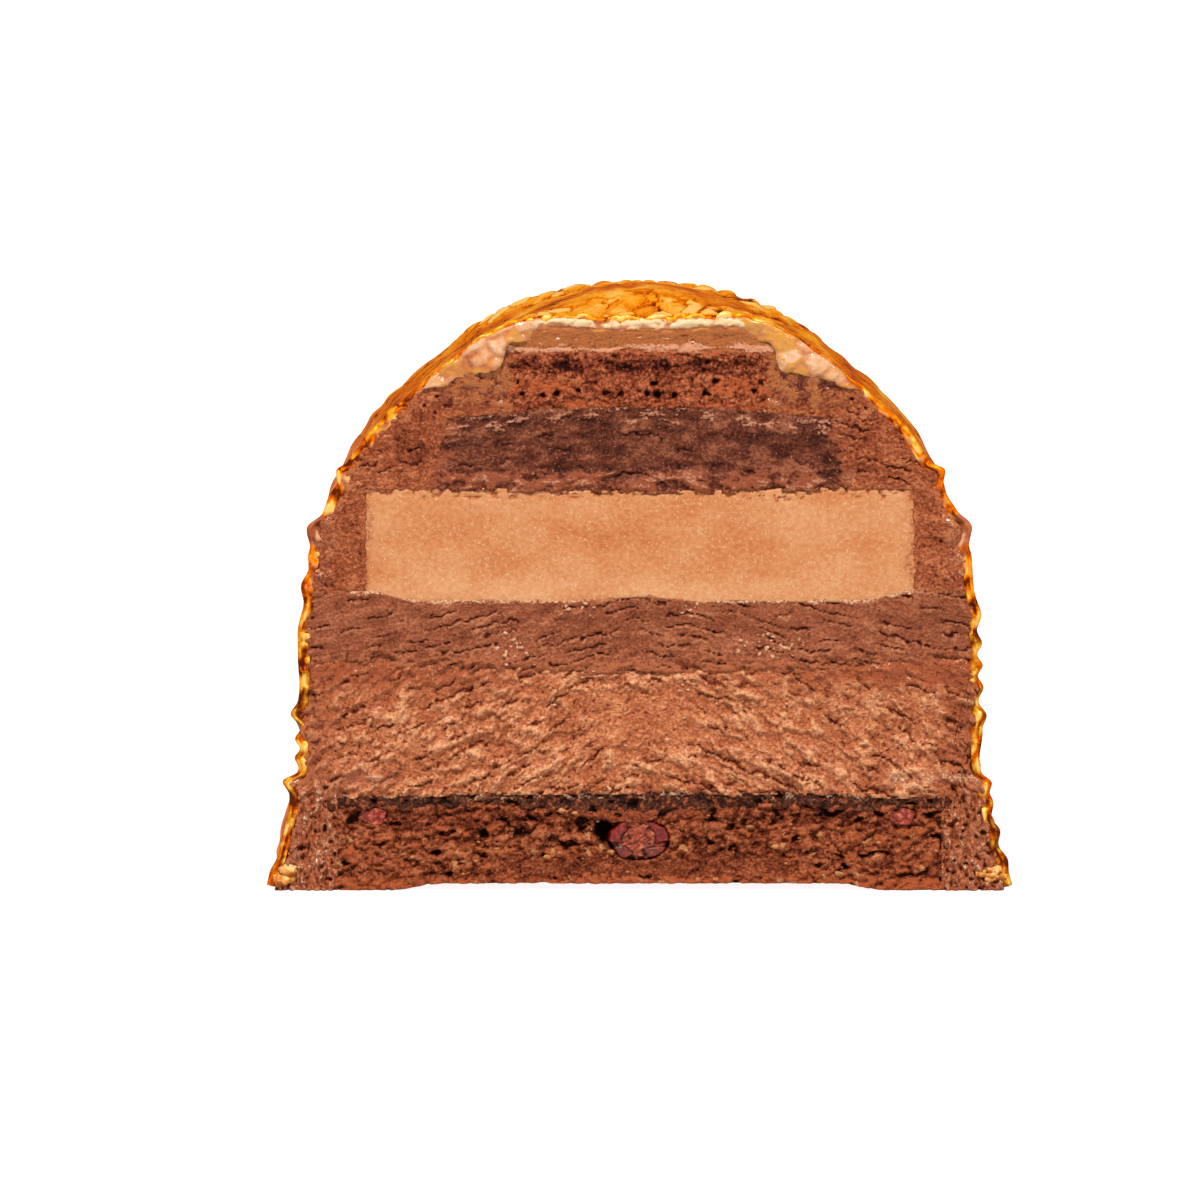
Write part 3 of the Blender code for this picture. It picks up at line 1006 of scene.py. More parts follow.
class Base(CutLayer):
    """The coarse cocoa sponge base, with tears, hollows and the places of its cherries."""

    pattern = 2.0
    over: float = 1.1 * MM

    def plane(self, s: float, t: float, y: float) -> tuple[float, float]:
        """Places a point of the layer's grid.

        Args:
            s: The share of the way across.
            t: The share of the way up or out.
            y: The place along the log; not used.

        Returns:
            The point (x, z).
        """
        x = (2 * s - 1) * (STRATA.base_half + self.over)
        low = STRATA.base_bottom(x)
        return x, low + (STRATA.base_top(x) + self.lap - low) * t

    def border(self, s: float, t: float) -> float:
        """How many cells a point is from the nearest border that shows."""
        return min(2 * min(s, 1 - s) * self.columns, min(2 * t, 1 - t) * self.rows)

    def wells(self, u: float, v: float, cut: Cut) -> float:
        """Says how deep in the places of the cherries, or in the hollows beside them, a point is.

        Args:
            u: The point's place across the log, in millimetres.
            v: Its height, in millimetres.
            cut: Which cut it is on.

        Returns:
            1 at the bottom of such a place and 0 outside.
        """
        if cut is Cut.BACK:
            return hollow(u, v, BACK_CHERRY, (3.9, 3.0), 0.2)
        ragged = 0.5 * grain(u / 0.9, v / 0.8, 3.0, 2)
        well = hollow(u + 0.3 * ragged, v + 0.3 * ragged, (-0.1, 5.9), (3.8, 2.5), 0.16)
        well = max(well, 0.8 * hollow(u, v + ragged, (-4.2, 6.9), (1.3, 1.7), 0.5))
        well = max(well, 0.6 * hollow(u, v - 0.3 * u - 1.0 + 0.4 * ragged, (-2.2, 9.4), (2.4, 0.8), 0.5))
        return max(well, 0.5 * hollow(abs(u), v, (30.7, 8.9), (1.5, 0.9), 0.4))

    def crumb(self, u: float, v: float, cut: Cut) -> Crumb:
        """Says what the cut is like at a point.

        Args:
            u: The point's place across the log, in millimetres.
            v: Its height, in millimetres.
            cut: Which cut it is on.

        Returns:
            The relief, the tones and the wetness there.
        """
        seed = self.seed(cut)
        warp = 0.7 * grain(u / 1.5, v / 1.2, seed + 1.0, 3)
        big = clods((u + warp) / 1.4, v + warp, 1.7, seed)
        small = clods(u + 0.6 * warp, v - 0.5 * warp, 0.55, seed + 3.0)
        rough = grain(u / 1.1, v / 0.8, seed + 4.0, 3)
        fine = grain(u / 0.3, v / 0.27, seed + 5.0, 2)
        top = ease(v, 6.2, 8.6)
        band = ease(v, 1.3, 2.0) * (1 - ease(v, 3.2, 4.4)) * (1 - ease(abs(u), 16.0, 20.0))
        gape = noise.noise(Vector(((u + warp) / 1.9, (v + 0.6 * warp) / 1.2, seed + 7.0)))
        hole = ease(gape, 0.4 - 0.2 * top + 0.2 * band, 0.56 - 0.16 * top + 0.2 * band)
        calm = 1 - 0.6 * band
        foot = 1 - ease(v + 0.2 * rough, 1.2, 1.8)
        crags = 0.5 * rough + 0.4 * big.rise + 0.26 * small.rise - 0.25 * big.crevice
        # Random mottling, with painted highlights on lumps and painted shade in crevices.
        mottle = 0.36 * rough + 0.18 * big.rise + 0.3 * small.rise - 0.2 * big.crevice
        height = calm * crags + 0.08 * fine - 0.15
        tone = 0.41 + calm * mottle + 0.14 * fine
        tone += 0.12 * (small.luck - 0.5) + 0.14 * (big.luck - 0.5) + 0.02 * band - 0.14 * top
        orange = ease(big.luck + 0.7 * rough, 0.6, 1.1) * ease(small.luck, 0.15, 0.5) * (1 - 0.4 * top) * calm
        nut = ease(small.luck, 0.955, 0.965) * (1 - band) * (1 - top)
        edge = ease(abs(u) + 1.3 * rough, 35.4, 36.4)
        well = self.wells(u, v, cut)
        shown = (1 - well) * (1 - hole)
        return Crumb(
            height - 0.8 * hole - 3.6 * well - 0.25 - 0.8 * edge,
            # Painted shade: darker in the holes and much darker in the cherry wells.
            tone - 0.5 * hole - 1.2 * well + 0.15 * foot,
            max(0.9 * orange, 0.7 * foot) * shown,
            0.75 * nut * shown,
        )


class Film(CutLayer):
    """The near-black chocolate on the base, with a frosted upper edge."""

    pattern = 4.0

    def plane(self, s: float, t: float, y: float) -> tuple[float, float]:
        """The place (x, z) of a point of the layer's grid."""
        return self.between(s, t, STRATA.base_top, STRATA.film_top, lambda z, side: STRATA.base_half)

    def crumb(self, u: float, v: float, cut: Cut) -> Crumb:
        """Says what the cut is like at a point.

        Args:
            u: The point's place across the log, in millimetres.
            v: Its height, in millimetres.
            cut: Which cut it is on.

        Returns:
            The relief, the tones and the wetness there.
        """
        seed = self.seed(cut)
        rough = grain(u / 1.3, v / 0.9, seed, 3)
        small = clods(u, v, 0.42, seed + 2.0)
        fine = grain(u / 0.28, v / 0.26, seed + 5.0, 2)
        high = ease(v, 10.2, 11.4)
        patch = ease(grain(u / 3.0, v / 0.8, seed + 3.0, 3), -0.25, 0.3)
        frost = high * patch * ease(small.rise + small.luck, 0.7, 1.2)
        gape = ease(noise.noise(Vector((u / 1.7, v / 1.1, seed + 7.0))), 0.26, 0.4)
        high_line = STRATA.film_top(u * MM) / MM - 0.5
        height = 0.3 * rough + 0.16 * small.rise + 0.05 * fine - 0.6 * gape - 0.15
        height -= 0.5 * ease(v + 0.9 * rough, high_line, high_line + 0.6)
        # Painted shade in the gaps, and painted highlights on the raised lumps.
        tone = 0.26 + 0.34 * rough + 0.2 * small.rise + 0.2 * fine - 0.3 * gape
        low = 1 - ease(v + 0.8 * rough, 9.1, 9.8)
        crumb = max(low, ease(small.luck, 0.8, 0.86) * ease(small.rise, 0.3, 0.6)) * (1 - gape)
        return Crumb(height, tone, 0.8 * crumb, 0.85 * frost * (1 - gape))


class LowerMousse(CutLayer):
    """The light crumbly mousse, which comes down both sides of the base to the floor."""

    pattern = 6.0
    side_share = 0.3
    over: float = 0.5 * MM
    under: float = 1.5 * MM

    def plane(self, s: float, t: float, y: float) -> tuple[float, float]:
        """Places a point of the layer's grid.

        Args:
            s: The share of the way across.
            t: The share of the way up or out.
            y: The place along the log.

        Returns:
            The point (x, z).
        """
        side = -1 if s < 0.5 else 1
        along = 2 * min(s, 1 - s)
        inner_x = STRATA.base_half - (self.under if FORM.near_cut(y) else 0.1 * MM)
        inner_z = STRATA.film_top(inner_x) - self.lap
        outer_x = FORM.side(STRATA.middle_low + 1.2 * MM, side, y)
        outer_z = STRATA.middle_bottom(outer_x) + self.over
        if along <= self.side_share:
            share = along / self.side_share
            inner = Vector((inner_x, inner_z * share))
            outer = Vector((FORM.side(outer_z * share, side, y), outer_z * share))
        else:
            share = 1 - (along - self.side_share) / (1 - self.side_share)
            inner = Vector((inner_x * share, STRATA.film_top(inner_x * share) - self.lap))
            outer = Vector((outer_x * share, STRATA.middle_bottom(outer_x * share) + self.over))
        x, z = inner.lerp(outer, t)
        return side * x, z

    def border(self, s: float, t: float) -> float:
        """How many cells a point is from the nearest border that shows."""
        low = ease(2 * min(s, 1 - s), 0.24, self.side_share)
        return min(t * self.rows + 9.0 * (1 - low), (1 - t) * self.rows)

    def foot(self, u: float, v: float, seed: float) -> Crumb:
        """Says what the moist, pitted mousse beside the base is like.

        Args:
            u: The point's place across the log, in millimetres.
            v: Its height, in millimetres.
            seed: Which pattern.

        Returns:
            The relief, the tones and the wetness there.
        """
        drip = grain(u / 0.7, v / 2.6, seed, 3)
        small = clods(u, v, 0.5, seed + 1.0)
        rough = grain(u / 0.6, v / 0.6, seed + 3.0, 2)
        pit = pits(u, v, 1.1, 0.26, seed, 0.5, 1.0)
        gape = ease(noise.noise(Vector((u / 1.0, v / 0.9, seed + 2.0))), 0.3, 0.5)
        height = 0.7 * drip + 0.4 * rough + 0.16 * small.rise - 0.5 * pit - 0.8 * gape - 0.1
        # Painted shade in the pits and gaps.
        tone = 0.76 + 0.36 * drip + 0.3 * rough + 0.16 * small.rise - 0.4 * pit - 0.55 * gape
        # A painted highlight, shown in the pale colour.
        glint = ease(drip + rough, 0.35, 0.6) * ease(small.luck, 0.4, 0.6)
        return Crumb(height, tone, 0.66, 0.55 * glint, 0.9 * ease(drip, -0.15, 0.2))

    def crumb(self, u: float, v: float, cut: Cut) -> Crumb:
        """Says what the cut is like at a point.

        Args:
            u: The point's place across the log, in millimetres.
            v: Its height, in millimetres.
            cut: Which cut it is on.

        Returns:
            The relief, the tones and the wetness there.
        """
        seed = self.seed(cut)
        reach = soft_reach(u)
        across = 0.4 * reach + 0.92 * v
        broad = grain(u / 3.6, across / 1.8, seed + 1.0, 3)
        knots = grain(u / 1.5, across / 0.9, seed + 5.0, 3)
        mask = ease(broad, -0.1, 0.35)
        ridge = crest(u / 3.4, across / 1.7, seed) * ease(knots, -0.4, 0.3)
        small = clods(u + 0.3 * knots, across, 0.7, seed + 2.0)
        fine = grain(u / 0.32, v / 0.28, seed + 3.0, 2)
        low = 1 - ease(v, 13.5, 17.5)
        lip, gap = flakes(u / 2.8, across / 1.6, seed + 4.0, 0.42 + 0.2 * low)
        calm = (1 - ease(reach, 3.0, 8.0)) * ease(v, 15.5, 18.0) * (1 - ease(v, 22.5, 24.5))
        rough = 1 - 0.65 * calm
        height = rough * (0.16 * broad + 0.2 * knots * mask + 0.34 * ridge + 0.16 * lip - 0.4 * gap)
        height += (0.1 + 0.36 * rough * max(mask, ridge)) * small.rise + 0.06 * fine
        border = STRATA.middle_bottom(u * MM) / MM
        height -= 0.45 * ease(v + broad, border - 0.5, border + 0.5)
        # Painted light and shade: lips, ridges and raised lumps are made lighter, gaps and crevices darker.
        tone = 0.46 + rough * (0.14 * broad + 0.16 * knots * mask + 0.3 * ridge + 0.16 * lip - 0.5 * gap)
        tone += (0.06 + 0.2 * rough * max(mask, ridge)) * (small.rise - 0.7 * small.crevice) + 0.14 * fine
        upper = ease(v + 1.6 * broad, 21.5, 25.0) * ease(reach + 3 * broad, 8.0, 20.0)
        side = ease(reach + 1.5 * broad, 29.0, 36.0)
        smear = ease(reach, 22.0, 28.0) * bump(v, 13.2, 1.5)
        plain = Crumb(
            height - 0.2,
            tone - 0.1 * side,
            max(0.6 * upper, 0.4 * side, 0.5 * smear),
            0.4 * smear * ease(broad, 0.0, 0.3),
            max(0.7 * smear, 0.2),
        )
        beside = ease(abs(u) + 0.5 * broad, 33.9, 34.9) * (1 - ease(v + 1.5 * broad, 10.5, 13.5))
        if beside == 0.0:
            return plain
        foot = self.foot(u, v, seed + 6.0)
        return Crumb(*(a + (b - a) * beside for a, b in zip(plain, foot)))


class MiddleMousse(CutLayer):
    """The brown mousse under the caramel, with torn lines that rise to the middle."""

    pattern = 8.0
    over: float = 0.5 * MM

    def plane(self, s: float, t: float, y: float) -> tuple[float, float]:
        """Places a point of the layer's grid.

        Args:
            s: The share of the way across.
            t: The share of the way up or out.
            y: The place along the log.

        Returns:
            The point (x, z).
        """
        return self.between(
            s,
            t,
            lambda x: STRATA.middle_bottom(x) - self.over,
            STRATA.middle_top,
            lambda z, side: FORM.side(z, side, y),
        )

    def crumb(self, u: float, v: float, cut: Cut) -> Crumb:
        """Says what the cut is like at a point.

        Args:
            u: The point's place across the log, in millimetres.
            v: Its height, in millimetres.
            cut: Which cut it is on.

        Returns:
            The relief, the tones and the wetness there.
        """
        seed = self.seed(cut)
        reach = soft_reach(u)
        across = 0.2 * reach + 0.98 * v
        streak = grain(u / 2.0, across / 0.4, seed, 3)
        soft = grain(u / 2.4, across / 1.2, seed + 2.0, 3)
        fine = grain(u / 0.3, v / 0.26, seed + 3.0, 2)
        low = 1 - ease(v + 1.6 * soft, 26.4, 29.4)
        lip, gap = flakes(u / 2.8, across / 1.2, seed + 4.0, 0.62)
        small = clods(u, v, 0.45, seed + 5.0)
        ridge = crest(u / 2.0, across / 1.0, seed + 6.0) * low
        height = 0.07 * streak + 0.12 * soft + 0.05 * fine + 0.05 * small.rise + 0.12 * lip - 0.34 * gap
        height += low * (0.16 * small.rise + 0.2 * ridge)
        border = STRATA.middle_bottom(u * MM) / MM
        height -= 0.45 * (1 - ease(v + 1.2 * soft, border - 0.4, border + 0.8))
        # Painted light and shade: lips, ridges and raised lumps are made lighter, gaps darker.
        tone = 0.46 + 0.12 * streak + 0.14 * soft + 0.14 * fine + 0.05 * small.rise + 0.22 * lip - 0.62 * gap
        tone += low * (0.16 * small.rise + 0.2 * ridge - 0.1)
        centre = (1 - ease(reach, 8.0, 17.0)) * (1 - ease(v, 28.5, 31.5))
        spots = 0.8 * bump(reach, 13.8, 6.0) * bump(v, 28.6, 3.4) + 0.2 * centre
        spots += bump(reach, 5.5, 4.0) * bump(v, 33.0, 1.6)
        speck = spots * ease(small.luck, 0.86, 0.88) * ease(small.rise, 0.4, 0.65)
        line = bump(v + 0.35 * soft, STRATA.middle_top(u * MM) / MM, 0.55) * ease(reach, 1.0, 6.0)
        line *= 1 - ease(reach, 31.4, 32.2)
        accent = low * ease(soft + ridge, -0.25, 0.4)
        return Crumb(height + 0.1 * line, tone + 0.1 * line, 0.75 * accent, max(0.6 * line, speck), 0.2)


class Caramel(CutLayer):
    """The smooth caramel insert."""

    pattern = 10.0

    def half(self, z: float, side: int) -> float:
        """The insert's half width at a height, where its end is a little uneven."""
        uneven = noise.noise(Vector((z / (1.6 * MM), side, 55.0)))
        return STRATA.caramel_half + (0.2 + 0.3 * uneven) * MM

    def plane(self, s: float, t: float, y: float) -> tuple[float, float]:
        """The place (x, z) of a point of the layer's grid."""
        return self.between(s, t, STRATA.middle_top, STRATA.caramel_top, self.half)

    def crumb(self, u: float, v: float, cut: Cut) -> Crumb:
        """Says what the cut is like at a point.

        Args:
            u: The point's place across the log, in millimetres.
            v: Its height, in millimetres.
            cut: Which cut it is on.

        Returns:
            The relief, the tones and the wetness there.
        """
        seed = self.seed(cut)
        soft = grain(u / 7.0, v / 4.0, seed, 2)
        fine = grain(u / 0.6, v / 0.5, seed + 1.0, 2)
        top = ease(v + 0.6 * soft, 45.2, 46.4)
        nick = ease(grain(u / 1.1, v / 0.6, seed + 2.0, 3), 0.1, 0.3) * top
        side = ease(abs(u) + 0.8 * soft, 30.0, 31.6)
        low = 1 - ease(v, 34.4, 37.5)
        middle = bump(v, 41.0, 4.5) * (1 - ease(abs(u), 8.0, 26.0))
        # Painted shade: the nicks are darker.
        tone = 0.5 + 0.14 * soft + 0.1 * fine + 0.2 * low - 0.2 * nick - 0.16 * middle
        return Crumb(0.04 * soft + 0.02 * fine - 0.25 * nick, tone, max(0.7 * nick, 0.45 * side), 0.0, 0.2)


class Ganache(CutLayer):
    """The dark insert, whose sides and lower edge are mixed with mousse."""

    pattern = 12.0
    over: float = 1.3 * MM

    def half(self, z: float) -> float:
        """The insert's half width at a height."""
        rise = STRATA.ganache_high - STRATA.caramel_high
        narrow = STRATA.ganache_top_half - STRATA.ganache_half
        return STRATA.ganache_half + narrow * (z - STRATA.caramel_high) / rise

    def plane(self, s: float, t: float, y: float) -> tuple[float, float]:
        """The place (x, z) of a point of the layer's grid."""
        return self.between(
            s, t, STRATA.caramel_top, STRATA.ganache_top, lambda z, side: self.half(z) + self.over
        )

    def crumb(self, u: float, v: float, cut: Cut) -> Crumb:
        """Says what the cut is like at a point.

        Args:
            u: The point's place across the log, in millimetres.
            v: Its height, in millimetres.
            cut: Which cut it is on.

        Returns:
            The relief, the tones and the wetness there.
        """
        seed = self.seed(cut)
        reach = soft_reach(u)
        across = 0.12 * reach + 0.99 * v
        fine = grain(u / 0.3, v / 0.26, seed, 2)
        streak = grain(u / 2.2, across / 0.6, seed + 1.0, 3)
        soft = grain(u / 2.6, across / 1.4, seed + 2.0, 3)
        small = clods(u, v, 0.42, seed + 5.0)
        lip, gap = flakes(u / 2.8, across / 1.9, seed + 4.0, 0.3)
        low = 1 - ease(v + 0.7 * soft, 48.4, 50.2)
        line = bump(v + 0.8 * soft, STRATA.ganache_top(u * MM) / MM - 0.9, 1.9)
        satin = ease(grain(u / 2.2, (v - 0.5 * wave(u, 3.0, 8.0)) / 0.6, seed + 6.0, 3), -0.05, 0.3)
        crumbs = ease(0.6 * small.rise + soft, 0.1, 0.6) * low
        height = 0.05 * fine + 0.12 * small.rise + 0.1 * streak + 0.14 * soft + 0.1 * lip - 0.3 * gap
        height += 0.14 * line * satin + 0.25 * crumbs - 0.1 * low
        # Painted light and shade: lips and raised lumps are made lighter, gaps darker.
        tone = 0.34 + 0.22 * fine + 0.16 * small.rise + 0.2 * streak + 0.16 * soft + 0.1 * lip - 0.5 * gap
        tone += low * (0.2 + 0.24 * streak) - 0.12 * bump(v, 47.0, 0.9) + 0.16 * soft
        side = ease(abs(u) + 2.4 * soft, self.half(v * MM) / MM - 2.6, self.half(v * MM) / MM + 1.0)
        accent = max(side, 0.85 * crumbs, 0.35 * bump(v, 50.6, 1.8) * ease(soft, -0.1, 0.4))
        # A painted sheen, shown in the pale colour.
        shine = low * ease(streak + soft, 0.35, 0.6)
        height -= 0.2 * ease(side, 0.8, 1.0)
        return Crumb(height, tone, accent, max(0.62 * line * satin, 0.5 * shine), 0.25 + 0.3 * line)


class Sponge(CutLayer):
    """The porous cocoa sponge insert."""

    pattern = 14.0

    def half(self, z: float, side: int) -> float:
        """The insert's half width at a height, where its end is torn.

        Args:
            z: The height.
            side: The left end (-1) or the right one (1).

        Returns:
            The half width.
        """
        rise = STRATA.sponge_high - STRATA.ganache_high
        narrow = STRATA.sponge_top_half - STRATA.sponge_half
        torn = 0.6 + 0.7 * noise.noise(Vector((z / (0.8 * MM), side, 51.0)))
        return STRATA.sponge_half + narrow * (z - STRATA.ganache_high) / rise + torn * MM

    def plane(self, s: float, t: float, y: float) -> tuple[float, float]:
        """The place (x, z) of a point of the layer's grid."""
        return self.between(s, t, STRATA.ganache_top, STRATA.sponge_top, self.half)

    def pores(self, u: float, v: float, seed: float) -> tuple[float, float]:
        """Finds the pores, which stand in loose rows.

        Args:
            u: The point's place across the log, in millimetres.
            v: Its height, in millimetres.
            seed: Which pattern.

        Returns:
            How deep in a crisp pore and in a soft hollow the point is, each from 0 to 1.
        """
        deepest = [0.0, 0.0]
        rows = ((61.2, 0.95, 4.1, 1, 0.95), (59.3, 0.4, 2.7, 0, 0.6), (58.0, 0.46, 2.3, 0, 0.75))
        for row, (height, radius, pitch, kind, share) in enumerate(rows):
            if abs(v - height) > 1.6:
                continue
            place = round(u / pitch)
            for column in (place - 1, place, place + 1):
                if chance(column, row, seed + 4) > share:
                    continue
                centre_u = column * pitch + 0.8 * pitch * (chance(column, row, seed) - 0.5)
                centre_v = height + 0.8 * (chance(column, row, seed + 1) - 0.5)
                size = radius * (0.6 + 0.8 * chance(column, row, seed + 2))
                ragged = 0.35 * grain(u / 0.5, v / 0.5, seed, 2)
                away = math.hypot((u - centre_u) / (1.1 + 0.5 * kind), v - centre_v) / size + ragged
                deepest[kind] = max(deepest[kind], ease(1 - away, 0.0, 0.7 + 0.3 * kind))
        return deepest[0], deepest[1]

    def crumb(self, u: float, v: float, cut: Cut) -> Crumb:
        """Says what the cut is like at a point.

        Args:
            u: The point's place across the log, in millimetres.
            v: Its height, in millimetres.
            cut: Which cut it is on.

        Returns:
            The relief, the tones and the wetness there.
        """
        seed = self.seed(cut)
        fine = grain(u / 0.28, v / 0.25, seed, 2)
        rough = grain(u / 1.6, v / 0.9, seed + 2.0, 3)
        small = clods(u + 0.2 * rough, v - 0.2 * rough, 0.56, seed + 1.0)
        crisp, soft = self.pores(u, v, seed)
        dark_row = bump(v, 61.2, 1.4)
        side = ease(soft_reach(u), 4.0, 10.0)
        warm = bump(v + 0.6 * rough, 58.9, 1.9) * (0.45 + 0.55 * side)
        smooth = 1 - ease(v + rough, 56.4, 57.6)
        grit = 1 - 0.6 * smooth
        height = 0.06 * fine + 0.34 * grit * small.rise + 0.26 * rough - 0.8 * crisp - 0.5 * soft - 0.1
        # Painted light and shade: raised lumps are made lighter, crevices and pores darker.
        tone = 0.4 + 0.16 * fine + grit * (0.36 * small.rise - 0.22 * small.crevice) + 0.24 * rough
        tone += 0.18 * warm + 0.14 * smooth - 0.14 * dark_row - 0.7 * crisp - 0.44 * soft
        top = ease(v + 0.5 * rough, 62.2, 62.9)
        accent = max(0.8 * warm * ease(small.rise + rough, 0.1, 0.6), 0.6 * smooth, 0.6 * top)
        return Crumb(height, tone + 0.16 * top, accent, 0.0, 0.25)


class ShellMousse(CutLayer):
    """The mousse arch around the inserts."""

    pattern = 16.0
    corner_shares = (0.0, 0.2, 0.335, 0.5, 0.62, 0.75, 1.0)

    def corners(self) -> tuple[Vector, ...]:
        """Follows the right half of the pocket, which laps over the inserts.

        Returns:
            The corners of its outline, from its mouth to its crown.
        """
        strata, lap = STRATA, self.lap
        low = strata.middle_top(strata.caramel_half) - lap
        return (
            Vector((strata.caramel_half - lap, low)),
            Vector((strata.caramel_half - lap, strata.caramel_top(strata.caramel_half) - lap)),
            Vector((strata.ganache_half - lap, strata.caramel_top(strata.ganache_half) - lap)),
            Vector((strata.ganache_top_half - lap, strata.ganache_top(strata.ganache_top_half) - lap)),
            Vector((strata.sponge_half - lap, strata.ganache_top(strata.sponge_half) - lap)),
            Vector((strata.sponge_top_half - lap, strata.sponge_top(strata.sponge_top_half) - lap)),
            Vector((0.0, strata.sponge_top(0.0) - lap)),
        )

    def plane(self, s: float, t: float, y: float) -> tuple[float, float]:
        """Places a point of the layer's grid.

        Args:
            s: The share of the way across.
            t: The share of the way up or out.
            y: The place along the log.

        Returns:
            The point (x, z).
        """
        side = -1 if s < 0.5 else 1
        along = 2 * min(s, 1 - s)
        corners = self.corners()
        index = max(i for i, share in enumerate(self.corner_shares[:-1]) if along >= share)
        start, end = self.corner_shares[index : index + 2]
        share = (along - start) / (end - start)
        inner = corners[index].lerp(corners[index + 1], share)
        ends = [
            FORM.distance_at(STRATA.middle_top(37 * MM) - self.lap)
            if i == 0
            else FORM.crown_radius * math.atan2(corners[i].x, corners[i].y - FORM.wall_height)
            for i in (index, index + 1)
        ]
        distance = ends[0] + (ends[1] - ends[0]) * share
        under = ease(STRATA.cream_half_arc + 1.5 * MM - distance, 0.0, 3 * MM)
        open_inset = FORM.under_skin(side * distance, y)
        taper = ease(STRATA.cream_half_arc - distance, 0.0, 4 * MM)
        cream_depth = FORM.glaze + STRATA.cream(min(distance, STRATA.cream_half_arc))
        cream_inset = 0.3 * MM + (cream_depth - 0.6 * MM) * taper
        inset = open_inset + (cream_inset - open_inset) * under
        x, z = inner.lerp(FORM.rim(distance, inset, y), t)
        return side * x, z

    def crumb(self, u: float, v: float, cut: Cut) -> Crumb:
        """Says what the cut is like at a point.

        Args:
            u: The point's place across the log, in millimetres.
            v: Its height, in millimetres.
            cut: Which cut it is on.

        Returns:
            The relief, the tones and the wetness there.
        """
        seed = self.seed(cut)
        reach = soft_reach(u)
        across = 0.25 * reach + 0.97 * v
        fine = grain(u / 0.3, v / 0.27, seed, 2)
        soft = grain(u / 1.8, v / 1.3, seed + 2.0, 3)
        mottle = grain(u / 1.5, v / 1.1, seed + 8.0, 3)
        small = clods(u, v, 0.45, seed + 3.0)
        beside = 1 - ease(v, 46.0, 48.5)
        upper = ease(v + soft, 54.5, 57.0)
        lip, gap = flakes(u / 2.0, across / 1.3, seed + 4.0, 0.5)
        torn = (1 - upper) * (1 - beside)
        holed = max(upper * ease(reach, 18.0, 22.0), 0.4 * beside)
        pit = pits(u, v, 1.5, 0.24, seed, 0.35 + 0.1 * upper, 1.1) * holed
        over = ease(v, 62.4, 63.2) * (1 - ease(reach, 12.5, 15.5))
        smear = ease(v + 1.4 * soft, 54.8, 57.2) * (1 - ease(reach + 3.0 * soft, 18.5, 25.0)) * (1 - over)
        grit = 1 - 0.7 * max(smear, over)
        height = 0.05 * fine + 0.22 * soft + grit * 0.16 * small.rise
        height += torn * (0.12 * lip - 0.36 * gap)
        height = height - 0.5 * pit + 0.2 * smear * mottle
        # Painted light and shade: lips and raised lumps are made lighter, gaps and pits darker.
        tone = 0.44 + 0.18 * fine + 0.2 * soft + grit * 0.18 * small.rise
        tone += torn * (0.2 * lip - 0.6 * gap)
        tone = tone - 0.7 * pit + 0.3 * smear * mottle
        dark = bump(reach, 24.0, 4.0) * ease(v + soft, 47.5, 50.0) * (1 - ease(v + soft, 53.0, 56.0))
        patch = ease(grain(u / 4.0, v / 0.8, seed + 6.0, 2), -0.5, 0.1)
        milk = over * (1 - ease(v + 0.5 * soft, 63.3, 64.1)) * patch
        side = ease(reach, 32.0, 35.0) * ease(v, 34.0, 36.0) * (1 - ease(v, 50.0, 54.0))
        lump = hollow(abs(u), v + 0.4 * soft, (36.0, 42.4), (2.0, 2.7), 0.9)
        # Pink spots in the smear, and painted pink highlights on the raised lumps beside the caramel.
        pink_spots_and_highlight = side * ease(soft + 0.5 * small.rise, 0.45, 0.7) + 0.5 * smear * ease(mottle, 0.2, 0.6)
        height += 0.8 * lump
        wet = max(0.6 * over, 0.9 * smear, 0.8 * side, lump, 0.2)
        accent = max(0.85 * smear * ease(mottle + soft, -0.5, 0.2), 0.9 * over * (1 - milk))
        # The bulging lump beside the glaze gets a painted highlight.
        tone += 0.2 * milk - 0.2 * dark + 0.18 * over + 0.15 * lump
        return Crumb(height + 0.16 * milk, tone, accent, max(0.85 * milk, 0.45 * pink_spots_and_highlight), wet)


